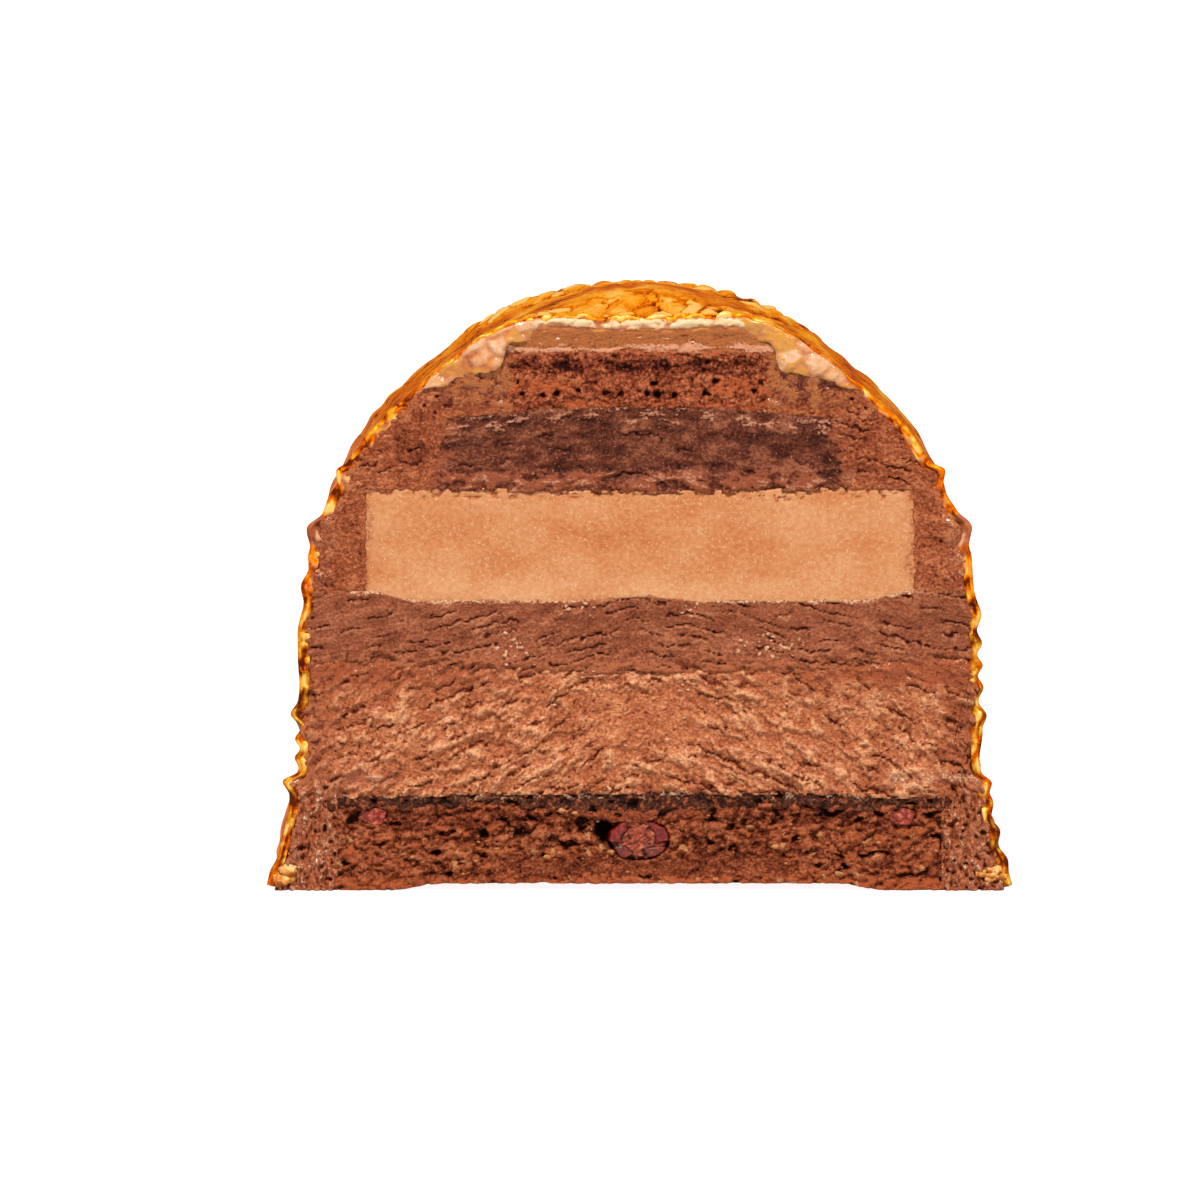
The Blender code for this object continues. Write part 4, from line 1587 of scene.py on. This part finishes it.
class Cream(CutLayer):
    """The pale cream under the crown of the glaze, which reaches the cut edge of the skin."""

    pattern = 18.0
    least: float = 0.45 * MM

    def plane(self, s: float, t: float, y: float) -> tuple[float, float]:
        """Places a point of the layer's grid.

        Args:
            s: The share of the way across.
            t: The share of the way up or out.
            y: The place along the log.

        Returns:
            The point (x, z).
        """
        distance = (2 * s - 1) * STRATA.cream_half_arc
        ragged = grain(distance / (2.2 * MM), 4.0, math.copysign(1.0, y), 3)
        ragged *= ease(abs(distance), 9 * MM, 14 * MM)
        taper = ease(STRATA.cream_half_arc - abs(distance), 0.0, 4 * MM)
        deeper = FORM.glaze - self.least + STRATA.cream(distance) + (0.35 + 0.5 * ragged) * MM
        inner = self.least + deeper * taper
        outer = max(FORM.under_skin(distance, y) - 0.12 * MM, 0.16 * MM - FORM.fold(distance, y))
        return tuple(FORM.rim(distance, inner + (outer - inner) * t, y))

    def border(self, s: float, t: float) -> float:
        """How many cells a point is from the nearest border that shows."""
        return min(0.5 * min(s, 1 - s) * self.columns, t * self.rows, 1.5 * (1 - t) * self.rows)

    def crumb(self, u: float, v: float, cut: Cut) -> Crumb:
        """Says what the cut is like at a point.

        Args:
            u: The point's place across the log, in millimetres.
            v: Its height, in millimetres.
            cut: Which cut it is on.

        Returns:
            The relief, the tones and the wetness there.
        """
        seed = self.seed(cut)
        reach = soft_reach(u)
        warp = 0.5 * noise.noise(Vector((u / 2.0, v / 2.0, seed + 5.0)))
        lumps = clods((u + warp) / 1.2, v + warp, 2.7, seed)
        beads = clods(u + warp, v - warp, 1.0, seed + 3.0)
        soft = grain(u / 1.3, v / 0.9, seed + 1.0, 3)
        wide = grain(u / 3.8, v / 3.0, seed + 2.0, 2)
        shoulder = 1 - ease(abs(reach - 17.0), 4.0, 9.0)
        crown = 1 - ease(reach + 4.0 * wide, 9.0, 12.5)
        angle = math.asin(min(1.0, abs(u) * MM / FORM.crown_radius))
        outer = FORM.rim(FORM.crown_radius * angle, 0.0, -FORM.thickness / 2)
        depth = outer.y / MM - v + 0.5 * wide
        white = crown * ease(depth + 0.4 * soft, 0.3, 0.6) * (1 - ease(depth + 0.4 * soft, 1.1, 1.6))
        white *= (0.85 + 0.6 * soft) * ease(grain(u / 2.6, 7.0, seed, 2), -0.5, -0.15)
        lump = shoulder * (0.7 * lumps.rise + 0.12 * beads.rise)
        height = 0.14 * soft + 0.1 * wide + 1.5 * lump + 0.3 * white - 0.3
        # Painted light and shade: the lumps are lighter and the crevices between them darker.
        tone = 0.16 + 0.2 * soft + 0.2 * wide + 0.66 * lump - 0.3 * shoulder * lumps.crevice + 0.4 * white
        honey = (1 - crown) * ease(lumps.luck + 0.3 * soft, 0.4, 0.7) + 0.7 * crown * (1 - white)
        return Crumb(height, tone, 0.8 * min(1.0, honey), 0.9 * white, 1.0)


@dataclass
class Glaze:
    """The gilded glaze from foot to foot, wrinkled round the log and ragged at its cut edges.

    The lining is how far it reaches into the layers. The rounding of its cut edges is in millimetres.
    """

    columns: int = 900
    rows: int = 64
    steps: int = 8
    hem: float = 0.7 * MM
    lining: float = 0.25 * MM
    rounding: float = 0.4

    def skin(self, along: float, down: float) -> tuple[float, float]:
        """Says what the outer skin is like at a place.

        Args:
            along: How far round the outline from the crown, in millimetres.
            down: The place along the log, in millimetres.

        Returns:
            The height of the fine relief in millimetres, and the tone, with painted shade and painted
            highlights.
        """
        edge = FORM.thickness / 2 / MM - abs(down)
        crown = 1 - ease(abs(along), 17.0, 27.0)
        near = (1 - ease(edge, 5.0, 10.0)) * crown
        warp = grain(along / 5.0, down / 6.0, 31.0, 2)
        blob = clods(along / 1.6 + warp, down / 2.2 + warp, 1.4, 33.0)
        wrinkle = noise.noise(Vector((along / 9.0 + warp, down / 3.6, 35.0)))
        line = (1 - min(1.0, abs(wrinkle) / 0.1)) ** 2
        broad = grain(along / 6.0, down / 9.0, 37.0, 2)
        height = near * (0.44 * blob.rise - 0.2 * blob.crevice - 0.1)
        height += (1 - near) * (0.07 * wrinkle - 0.06 * line)
        # Painted shade in the creases between the blobs, and painted glints on the blobs' tops.
        crease = ease(blob.crevice, 0.3, 1.0) * ease(blob.luck, 0.35, 0.7)
        glint = ease(blob.luck, 0.7, 0.9) * ease(blob.rise, 0.5, 0.9)
        wall = ease(abs(along), 44.0, 54.0)
        blobs = 0.07 + 0.36 * blob.rise + 0.5 * (blob.luck - 0.5) + 0.3 * glint - 0.85 * crease - 0.2 * line
        # Painted shade along the wrinkle lines, and a painted highlight along the crown.
        folds = 0.32 * broad + 0.1 * crown * ease(broad, 0.1, 0.4) - (0.5 - 0.25 * wall) * line
        tone = 0.5 + near * blobs
        tone += (1 - near) * folds
        tone -= 0.03 + 0.07 * wall
        # Painted shade at the rounded cut edge of the walls.
        dark = 1 - ease(edge, 0.0, 0.8)
        return height - 0.1, tone - 0.12 * dark * (1 - crown)

    def build(self) -> bpy.types.Object:
        """Makes the glaze, which stands for its node.

        Returns:
            The piece.
        """
        mesh = grid_block(self.columns, self.rows, self.steps)
        tone, accent, pale, gilt = marks(mesh, "tone", "accent", "pale", "gilt")
        reach = FORM.half_outline - self.hem
        half = FORM.thickness / 2
        for vertex in mesh.verts:
            s, t, w = vertex.co
            distance = (2 * s - 1) * reach
            lean = 2 * t - 1
            side = -1.0 if lean < 0 else 1.0
            y = half * side * (0.3 * abs(lean) + 0.7 * (1 - (1 - abs(lean)) ** 2))
            at_cut = abs(lean) > 0.999
            swell = FORM.fold(distance, y) + FORM.knob(distance, y)
            under = w * (FORM.glaze + self.lining + swell) / MM
            along = distance / MM
            height, shade = self.skin(along, y / MM + (side * under if at_cut else 0.0))
            hem = ease(reach - abs(distance), 0.0, 3 * MM)
            from_edge = (half - abs(y)) / MM
            lap = 1 - min(1.0, from_edge / self.rounding)
            round_in = self.rounding * (1 - math.sqrt(1 - lap * lap)) * MM * (1 - w)
            outer = (swell + height * MM) * hem - round_in
            depth = (FORM.glaze + self.lining) * w - outer * (1 - w)
            x, z = FORM.rim(distance, depth, y)
            place = FORM.settled(x, y, z)
            crown = 1 - ease(abs(along), 26.0, 34.0)
            flap = noise.noise(Vector((along / 1.5, lean, 41.0)))
            flap += 0.6 * noise.noise(Vector((along / 0.7, lean, 43.0)))
            patch = grain(along / 1.9, under / 1.2, 45.0 + lean, 2)
            if at_cut:
                out = 0.24 + 0.5 * flap - 0.22 * under - 0.44 * crown + 0.2 * patch
                place.y += side * min(0.45, out) * MM
            vertex.co = place
            bulge = ease(z / MM, 36.0, 38.0) * (1 - ease(z / MM, 45.0, 46.5))
            ragged = noise.noise(Vector((along / 1.3, y / MM / 1.3, 47.0)))
            front = 1 - ease((y + half) / MM, 1.0, 4.0)
            knob = FORM.knob(distance, -half) / MM * bulge * front * (1 + ragged)
            rim = 1 - ease(from_edge, 0.0, 0.5)
            ochre = rim * ease(abs(along), 56.0, 62.0) * ease(patch + 0.5 * flap, -0.3, 0.1)
            slope = rim * ease(abs(along), 24.0, 32.0) * (1 - ease(abs(along), 54.0, 60.0))
            slope *= ease(under, 0.15, 0.4)
            vertex[tone] = shade + rim * (0.8 * patch + 0.12) * (1 - 0.4 * crown)
            vertex[accent] = max(
                min(1.0, 2.2 * knob),
                rim * crown * ease(under, 0.25, 0.5),
                0.6 * slope * ease(flap, -0.2, 0.2),
            )
            vertex[pale] = max(crown, 0.7 * slope) * ease(patch, -0.2, 0.3)
            vertex[gilt] = 0.85 * ochre
        piece = finished("glaze_skin", mesh, GlazeFinish().material())
        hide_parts("glaze")
        return piece


@dataclass
class CherryHalf:
    """A halved cherry that shows its cut side: glossy wings and brown lobes round a crumbly heart."""

    name: str
    node: str
    centre: tuple[float, float]
    half: tuple[float, float]
    depth: float
    cut: Cut
    seed: float = 0.0

    def build(self, material: bpy.types.Material) -> bpy.types.Object:
        """Makes the piece, which stands for its node.

        Args:
            material: The cherry's finish.

        Returns:
            The piece.
        """
        mesh = bmesh.new()
        bmesh.ops.create_uvsphere(mesh, u_segments=128, v_segments=112, radius=1.0)
        bmesh.ops.rotate(mesh, verts=mesh.verts, cent=(0, 0, 0), matrix=Matrix.Rotation(math.pi / 2, 3, "X"))
        tone, accent, pale = marks(mesh, "tone", "accent", "pale")
        front = FORM.thickness / 2 / MM
        for vertex in mesh.verts:
            a, b, c = vertex.co
            toward = self.cut.value * b
            warp = 0.1 * noise.noise(Vector((a * 1.8, c * 1.8, self.seed + 5.0)))
            reach, rise = abs(a + warp), c + warp
            away = math.hypot(reach, rise)
            wing = ease(away, 0.46, 0.62) * ease(rise, -0.24, -0.08) * ease(reach, 0.26, 0.4)
            wing *= 1 - ease(away, 0.86, 1.0)
            round_lobe = math.hypot((reach - 0.52) / 0.46, (rise + 0.56) / 0.34)
            lobe = 1 - ease(round_lobe, 0.55, 1.0)
            flesh = max(wing, lobe)
            fibre = grain((a - 0.8 * c) * 7.0, (a + c) * 2.2, self.seed, 3)
            rough = grain(a * 5.0, c * 4.0, self.seed + 2.0, 3)
            edge = ease(1 - away, 0.0, 0.14)
            heart = ease(1.02 - away + 0.2 * rough, 0.0, 0.3) * (1 - flesh)
            dome = -1.35 + 0.5 * edge + 0.85 * flesh + 0.45 * heart + 0.16 * (rough + fibre) * (1 - flesh)
            y = self.cut.value * (front + dome - (self.depth * abs(b) + 0.4 if toward < 0 else 0.0))
            vertex.co = Vector((self.centre[0] + a * self.half[0], y, self.centre[1] + c * self.half[1])) * MM
            crevice = max(1 - max(ease(flesh, 0.1, 0.5), ease(heart, 0.1, 0.6)), 0.8 * bump(flesh, 0.3, 0.3))
            # Painted shade in the crevices between the flesh and the heart.
            vertex[tone] = 0.46 + 0.3 * rough + 0.3 * fibre * (1 - flesh) - 0.6 * crevice
            vertex[accent] = (1 - ease(flesh, 0.1, 0.4)) * ease(heart, 0.05, 0.35)
            vertex[pale] = ease(lobe - wing, 0.0, 0.3)
        piece = finished(self.name, mesh, material)
        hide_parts(self.node)
        return piece


@dataclass
class CherryChip:
    """A small glossy chip of cherry."""

    name: str
    node: str
    centre: tuple[float, float]
    half: tuple[float, float, float] = (1.4, 1.5, 0.9)
    seed: float = 0.0

    def build(self, material: bpy.types.Material) -> bpy.types.Object:
        """Makes the piece, which stands for its node.

        Args:
            material: The cherry's finish.

        Returns:
            The piece.
        """
        mesh = bmesh.new()
        bmesh.ops.create_icosphere(mesh, subdivisions=5, radius=1.0)
        tone, accent, _ = marks(mesh, "tone", "accent", "pale")
        front = FORM.thickness / 2 / MM + 0.1
        for vertex in mesh.verts:
            way = vertex.co.copy()
            facet = noise.voronoi(way * 1.3 + Vector((self.seed, 2.0, 0.0)))[0]
            swell = 0.86 + 0.3 * noise.noise(way * 1.3 + Vector((self.seed, 2.0, 0.0))) + 0.3 * facet[0]
            point = Vector((p * h * swell for p, h in zip(way, self.half)))
            y = max(-front, -front + 0.5 + point.y)
            vertex.co = Vector((self.centre[0] + point.x, y, self.centre[1] + point.z)) * MM
            vertex[tone] = 0.64 + 0.4 * noise.noise(way * 2.0) - 0.3 * ease(facet[0], 0.3, 0.7)
            vertex[accent] = 0.38
        piece = finished(self.name, mesh, material)
        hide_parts(self.node)
        return piece


@dataclass
class Crumbs:
    """Loose crumbs of one kind on the cuts, as one joined mesh."""

    name: str
    finish: CakeFinish
    slot: str
    host: CutLayer
    spots: Sequence[tuple[float, float, float, float, int]]
    seed: float
    sizes: tuple[float, float] = (0.14, 0.36)
    flat: float = 1.0

    def build(self) -> bpy.types.Object:
        """Makes the crumbs, which lie on the cuts of their host.

        Returns:
            The piece.
        """
        mesh = bmesh.new()
        tone, *_ = marks(mesh, "tone", "accent", "pale", "wet")
        for index, (u, v, half_u, half_v, count) in enumerate(self.spots):
            for number in range(count):
                for cut in Cut:
                    key = number + 0.37 * cut.value
                    spread = [chance(index, key, self.seed + i) for i in range(5)]
                    along = u + half_u * (spread[0] + spread[1] - 1)
                    up = v + half_v * (2 * spread[2] - 1)
                    radius = self.sizes[0] + (self.sizes[1] - self.sizes[0]) * spread[3] ** 2
                    made = bmesh.ops.create_icosphere(mesh, subdivisions=2, radius=1.0)["verts"]
                    ground = FORM.thickness / 2 / MM + self.host.crumb(along, up, cut).height
                    y = cut.value * (ground + 0.1 * radius)
                    for vertex in made:
                        way = vertex.co.copy()
                        lumpy = 1 + 0.6 * noise.noise(way * 1.6 + Vector((number, index, self.seed)))
                        point = way * radius * lumpy
                        place = (along + 1.3 * point.x, y + self.flat * point.y, up + 0.8 * point.z)
                        vertex.co = Vector(place) * MM
                        # Painted light: each crumb is lighter on top and darker underneath.
                        vertex[tone] = 0.5 + 0.3 * way.z + 0.4 * (spread[4] - 0.5)
        return finished(self.name, mesh, self.finish.material())


@dataclass
class Studio:
    """A white floor, two soft suns, a dim sky and the camera."""

    distance: float = 1.0
    elevation: float = math.radians(6.0)
    view_width: float = 139.1 * MM
    aim: tuple[float, float, float] = (-4.6 * MM, -15.0 * MM, 34.0 * MM)
    softness: float = math.radians(11.0)
    sky: float = 0.25

    def sun(self, name: str, azimuth: float, elevation: float, strength: float, colour: Colour) -> None:
        """Adds a soft sun that shines on the slice.

        Args:
            name: Its name.
            azimuth: Where it stands, in degrees to the right of the front.
            elevation: How high it stands, in degrees.
            strength: Its strength.
            colour: Its colour, from 0 to 1.
        """
        data = bpy.data.lights.new(name, "SUN")
        data.angle = self.softness
        data.energy = strength
        data.color = colour
        turn, rise = math.radians(azimuth), math.radians(elevation)
        way = Vector((math.sin(turn) * math.cos(rise), -math.cos(turn) * math.cos(rise), math.sin(rise)))
        light = bpy.data.objects.new(name, data)
        light.location = way
        light.rotation_euler = way.to_track_quat("Z", "Y").to_euler()
        bpy.context.scene.collection.objects.link(light)

    def build(self) -> None:
        """Makes the floor, the sky, the lights and the camera."""
        mesh = bmesh.new()
        bmesh.ops.create_grid(mesh, x_segments=1, y_segments=1, size=4.0)
        data = bpy.data.meshes.new("floor")
        mesh.to_mesh(data)
        mesh.free()
        floor = bpy.data.objects.new("floor", data)
        board = Board("white floor")
        white = (1.0, 1.0, 1.0, 1.0)
        data.materials.append(
            board.dress(
                {
                    "Base Color": (0.3, 0.3, 0.3, 1.0),
                    "Roughness": 0.9,
                    "Emission Color": white,
                    "Emission Strength": 0.9,
                }
            )
        )
        bpy.context.scene.collection.objects.link(floor)
        world = bpy.data.worlds.new("studio")
        world.use_nodes = True
        world.node_tree.nodes["Background"].inputs["Color"].default_value = white
        world.node_tree.nodes["Background"].inputs["Strength"].default_value = self.sky
        bpy.context.scene.world = world
        self.sun("key", -18.0, 54.0, 4.6, (1.0, 0.985, 0.96))
        self.sun("fill", 40.0, 30.0, 1.3, (1.0, 0.99, 0.98))
        scene = bpy.context.scene
        scene.view_settings.view_transform = "Standard"
        camera_data = bpy.data.cameras.new("camera")
        camera_data.sensor_width = 36.0
        camera_data.lens = 36.0 * self.distance / self.view_width
        camera = bpy.data.objects.new("camera", camera_data)
        back = Vector((0.0, -math.cos(self.elevation), math.sin(self.elevation)))
        camera.location = Vector(self.aim) + back * self.distance
        camera.rotation_euler = back.to_track_quat("Z", "Y").to_euler()
        scene.collection.objects.link(camera)
        scene.camera = camera


# ---- the finishes of this cake ----

BASE_FINISH = CakeFinish(
    "cocoa base",
    (42, 9, 3),
    (136, 60, 32),
    (200, 112, 70),
    (188, 92, 50),
    (214, 146, 92),
    grain_share=0.45,
    roughness=0.6,
    relief=0.12,
    pore_share=0.2,
)
FILM_FINISH = CakeFinish(
    "dark chocolate",
    (26, 6, 3),
    (92, 46, 28),
    (150, 90, 60),
    (168, 82, 46),
    (190, 148, 120),
    grain_share=0.5,
    roughness=0.5,
    relief=0.1,
)
LOWER_FINISH = CakeFinish(
    "praline mousse",
    (112, 38, 14),
    (201, 112, 68),
    (252, 180, 128),
    (176, 88, 52),
    (248, 204, 164),
    grain_share=0.36,
    roughness=0.55,
    wet_roughness=0.22,
    relief=0.1,
    pore_share=0.25,
    coat=0.4,
)
MIDDLE_FINISH = CakeFinish(
    "milk chocolate mousse",
    (80, 28, 12),
    (158, 84, 54),
    (210, 134, 94),
    (188, 106, 68),
    (232, 178, 136),
    grain_share=0.3,
    roughness=0.55,
    relief=0.08,
    pore_share=0.15,
)
CARAMEL_FINISH = CakeFinish(
    "caramel cream",
    (196, 110, 60),
    (216, 143, 92),
    (230, 170, 120),
    (170, 88, 50),
    (240, 194, 150),
    grain_size=0.5,
    grain_share=0.35,
    patch_size=5.0,
    patch_share=0.3,
    speck_share=0.06,
    roughness=0.5,
    relief=0.03,
)
GANACHE_FINISH = CakeFinish(
    "dark ganache",
    (56, 16, 6),
    (112, 54, 34),
    (166, 96, 66),
    (160, 82, 52),
    (208, 140, 106),
    grain_share=0.4,
    patch_share=0.4,
    speck_share=0.02,
    roughness=0.5,
    relief=0.07,
)
SPONGE_FINISH = CakeFinish(
    "cocoa sponge",
    (52, 10, 4),
    (148, 66, 36),
    (214, 122, 78),
    (200, 98, 52),
    (220, 150, 110),
    grain_share=0.5,
    roughness=0.5,
    relief=0.12,
    pore_share=0.25,
)
SHELL_FINISH = CakeFinish(
    "chocolate mousse",
    (88, 28, 8),
    (164, 80, 44),
    (214, 130, 84),
    (184, 104, 52),
    (228, 158, 118),
    grain_share=0.45,
    roughness=0.48,
    wet_roughness=0.22,
    relief=0.09,
    pore_share=0.2,
    coat=0.24,
)
CREAM_FINISH = CakeFinish(
    "cream",
    (200, 104, 58),
    (234, 166, 112),
    (255, 218, 184),
    (226, 152, 62),
    (255, 216, 164),
    grain_size=0.6,
    grain_share=0.25,
    roughness=0.4,
    wet_roughness=0.18,
    relief=0.04,
    coat=0.4,
)
PEACH_CRUMB = CakeFinish("peach crumb", (150, 80, 46), (216, 146, 104), (246, 200, 160), (0, 0, 0), (0, 0, 0))
GOLD_FLAKE = CakeFinish(
    "gold flake",
    (176, 88, 26),
    (250, 168, 78),
    (284, 226, 160),
    (0, 0, 0),
    (0, 0, 0),
    patch_size=1.0,
    patch_share=0.6,
    roughness=0.3,
)
COCOA_CRUMB = CakeFinish("cocoa crumb", (60, 20, 8), (142, 72, 42), (196, 114, 70), (0, 0, 0), (0, 0, 0))
NUT_CRUMB = CakeFinish("nut crumb", (136, 72, 32), (192, 122, 70), (226, 164, 108), (0, 0, 0), (0, 0, 0))


def layers() -> tuple[CutLayer, ...]:
    """Lists the layers of the cake.

    Returns:
        The layers, from the base up.
    """
    return (
        Base("base_crumb", "base_sponge", "cocoa_base", BASE_FINISH, 540, 72),
        Film("film_crumb", "chocolate_film", "dark_chocolate", FILM_FINISH, 440, 16, lap=0.5 * MM),
        LowerMousse(
            "lower_mousse_crumb", "lower_mousse", "lower_mousse", LOWER_FINISH, 640, 84, lap=0.5 * MM
        ),
        MiddleMousse("middle_mousse_crumb", "middle_mousse", "middle_mousse", MIDDLE_FINISH, 520, 54),
        Caramel("caramel_slab", "caramel", "caramel", CARAMEL_FINISH, 254, 52, edge=0.06),
        Ganache("ganache_slab", "ganache", "ganache", GANACHE_FINISH, 300, 60),
        Sponge("sponge_crumb", "sponge", "sponge", SPONGE_FINISH, 240, 56),
        ShellMousse("shell_mousse_crumb", "shell_mousse", "shell_mousse", SHELL_FINISH, 680, 48),
        Cream("cream_layer", "cream", "cream", CREAM_FINISH, 390, 16),
    )


def crumbs(hosts: dict[str, CutLayer]) -> tuple[Crumbs, ...]:
    """Lists the loose crumbs. A spot is a place across and up, its half width and height, and a number.

    Args:
        hosts: The layers by name.

    Returns:
        The scatters.
    """
    lower = hosts["lower_mousse_crumb"]
    middle = hosts["middle_mousse_crumb"]
    base = hosts["base_crumb"]
    peach_middle = (
        (-13.9, 28.4, 3.4, 2.0, 10),
        (13.9, 28.4, 3.4, 2.0, 9),
        (-6.4, 33.0, 2.2, 0.8, 3),
        (6.2, 32.8, 2.0, 0.7, 3),
    )
    peach_lower = ((-5.0, 24.4, 2.6, 1.6, 9), (5.4, 24.2, 2.2, 1.4, 7), (0.0, 18.0, 24.0, 5.0, 10))
    cocoa = ((-12.8, 11.2, 3.6, 0.5, 9), (12.8, 11.2, 3.6, 0.5, 9), (0.0, 11.9, 30.0, 0.4, 26))
    nuts = ((0.0, 5.0, 33.0, 3.2, 16), (0.0, 8.4, 33.0, 1.0, 8))
    gold = ((-40.9, 1.9, 1.4, 0.7, 10), (40.9, 1.9, 1.4, 0.7, 10))
    return (
        Crumbs("peach_crumbs_high", PEACH_CRUMB, "lower_mousse", middle, peach_middle, 1.0, (0.1, 0.28)),
        Crumbs("peach_crumbs_low", PEACH_CRUMB, "lower_mousse", lower, peach_lower, 2.0, (0.12, 0.3)),
        Crumbs("cocoa_crumbs", COCOA_CRUMB, "cocoa_base", lower, cocoa, 3.0, (0.14, 0.34)),
        Crumbs("nut_crumbs", NUT_CRUMB, "cocoa_base", base, nuts, 4.0, (0.16, 0.44)),
        Crumbs("gold_flakes", GOLD_FLAKE, "glaze", lower, gold, 5.0, (0.44, 0.88), 0.45),
    )


def main() -> None:
    """Builds and dresses the whole slice in its studio."""
    logging.basicConfig(level=logging.INFO, format="%(message)s")
    built = {layer.name: layer for layer in layers()}
    for layer in built.values():
        layer.build()
    for scatter in crumbs(built):
        scatter.build()
    Glaze().build()
    cherry = CherryFinish().material()
    for fruit in (
        CherryHalf("cherry_front_half", "cherry_front", (-0.1, 6.0), (3.8, 2.6), 4.2, Cut.FRONT, 1.0),
        CherryHalf("cherry_back_half", "cherry_back", BACK_CHERRY, (3.2, 2.3), 3.8, Cut.BACK, 5.0),
        CherryChip("chip_left", "cherry_chip_left", (-30.7, 8.7), seed=1.0),
        CherryChip("chip_right", "cherry_chip_right", (30.7, 8.7), seed=1.0),
    ):
        fruit.build(cherry)
    Studio().build()


if __name__ == "__main__":
    main()
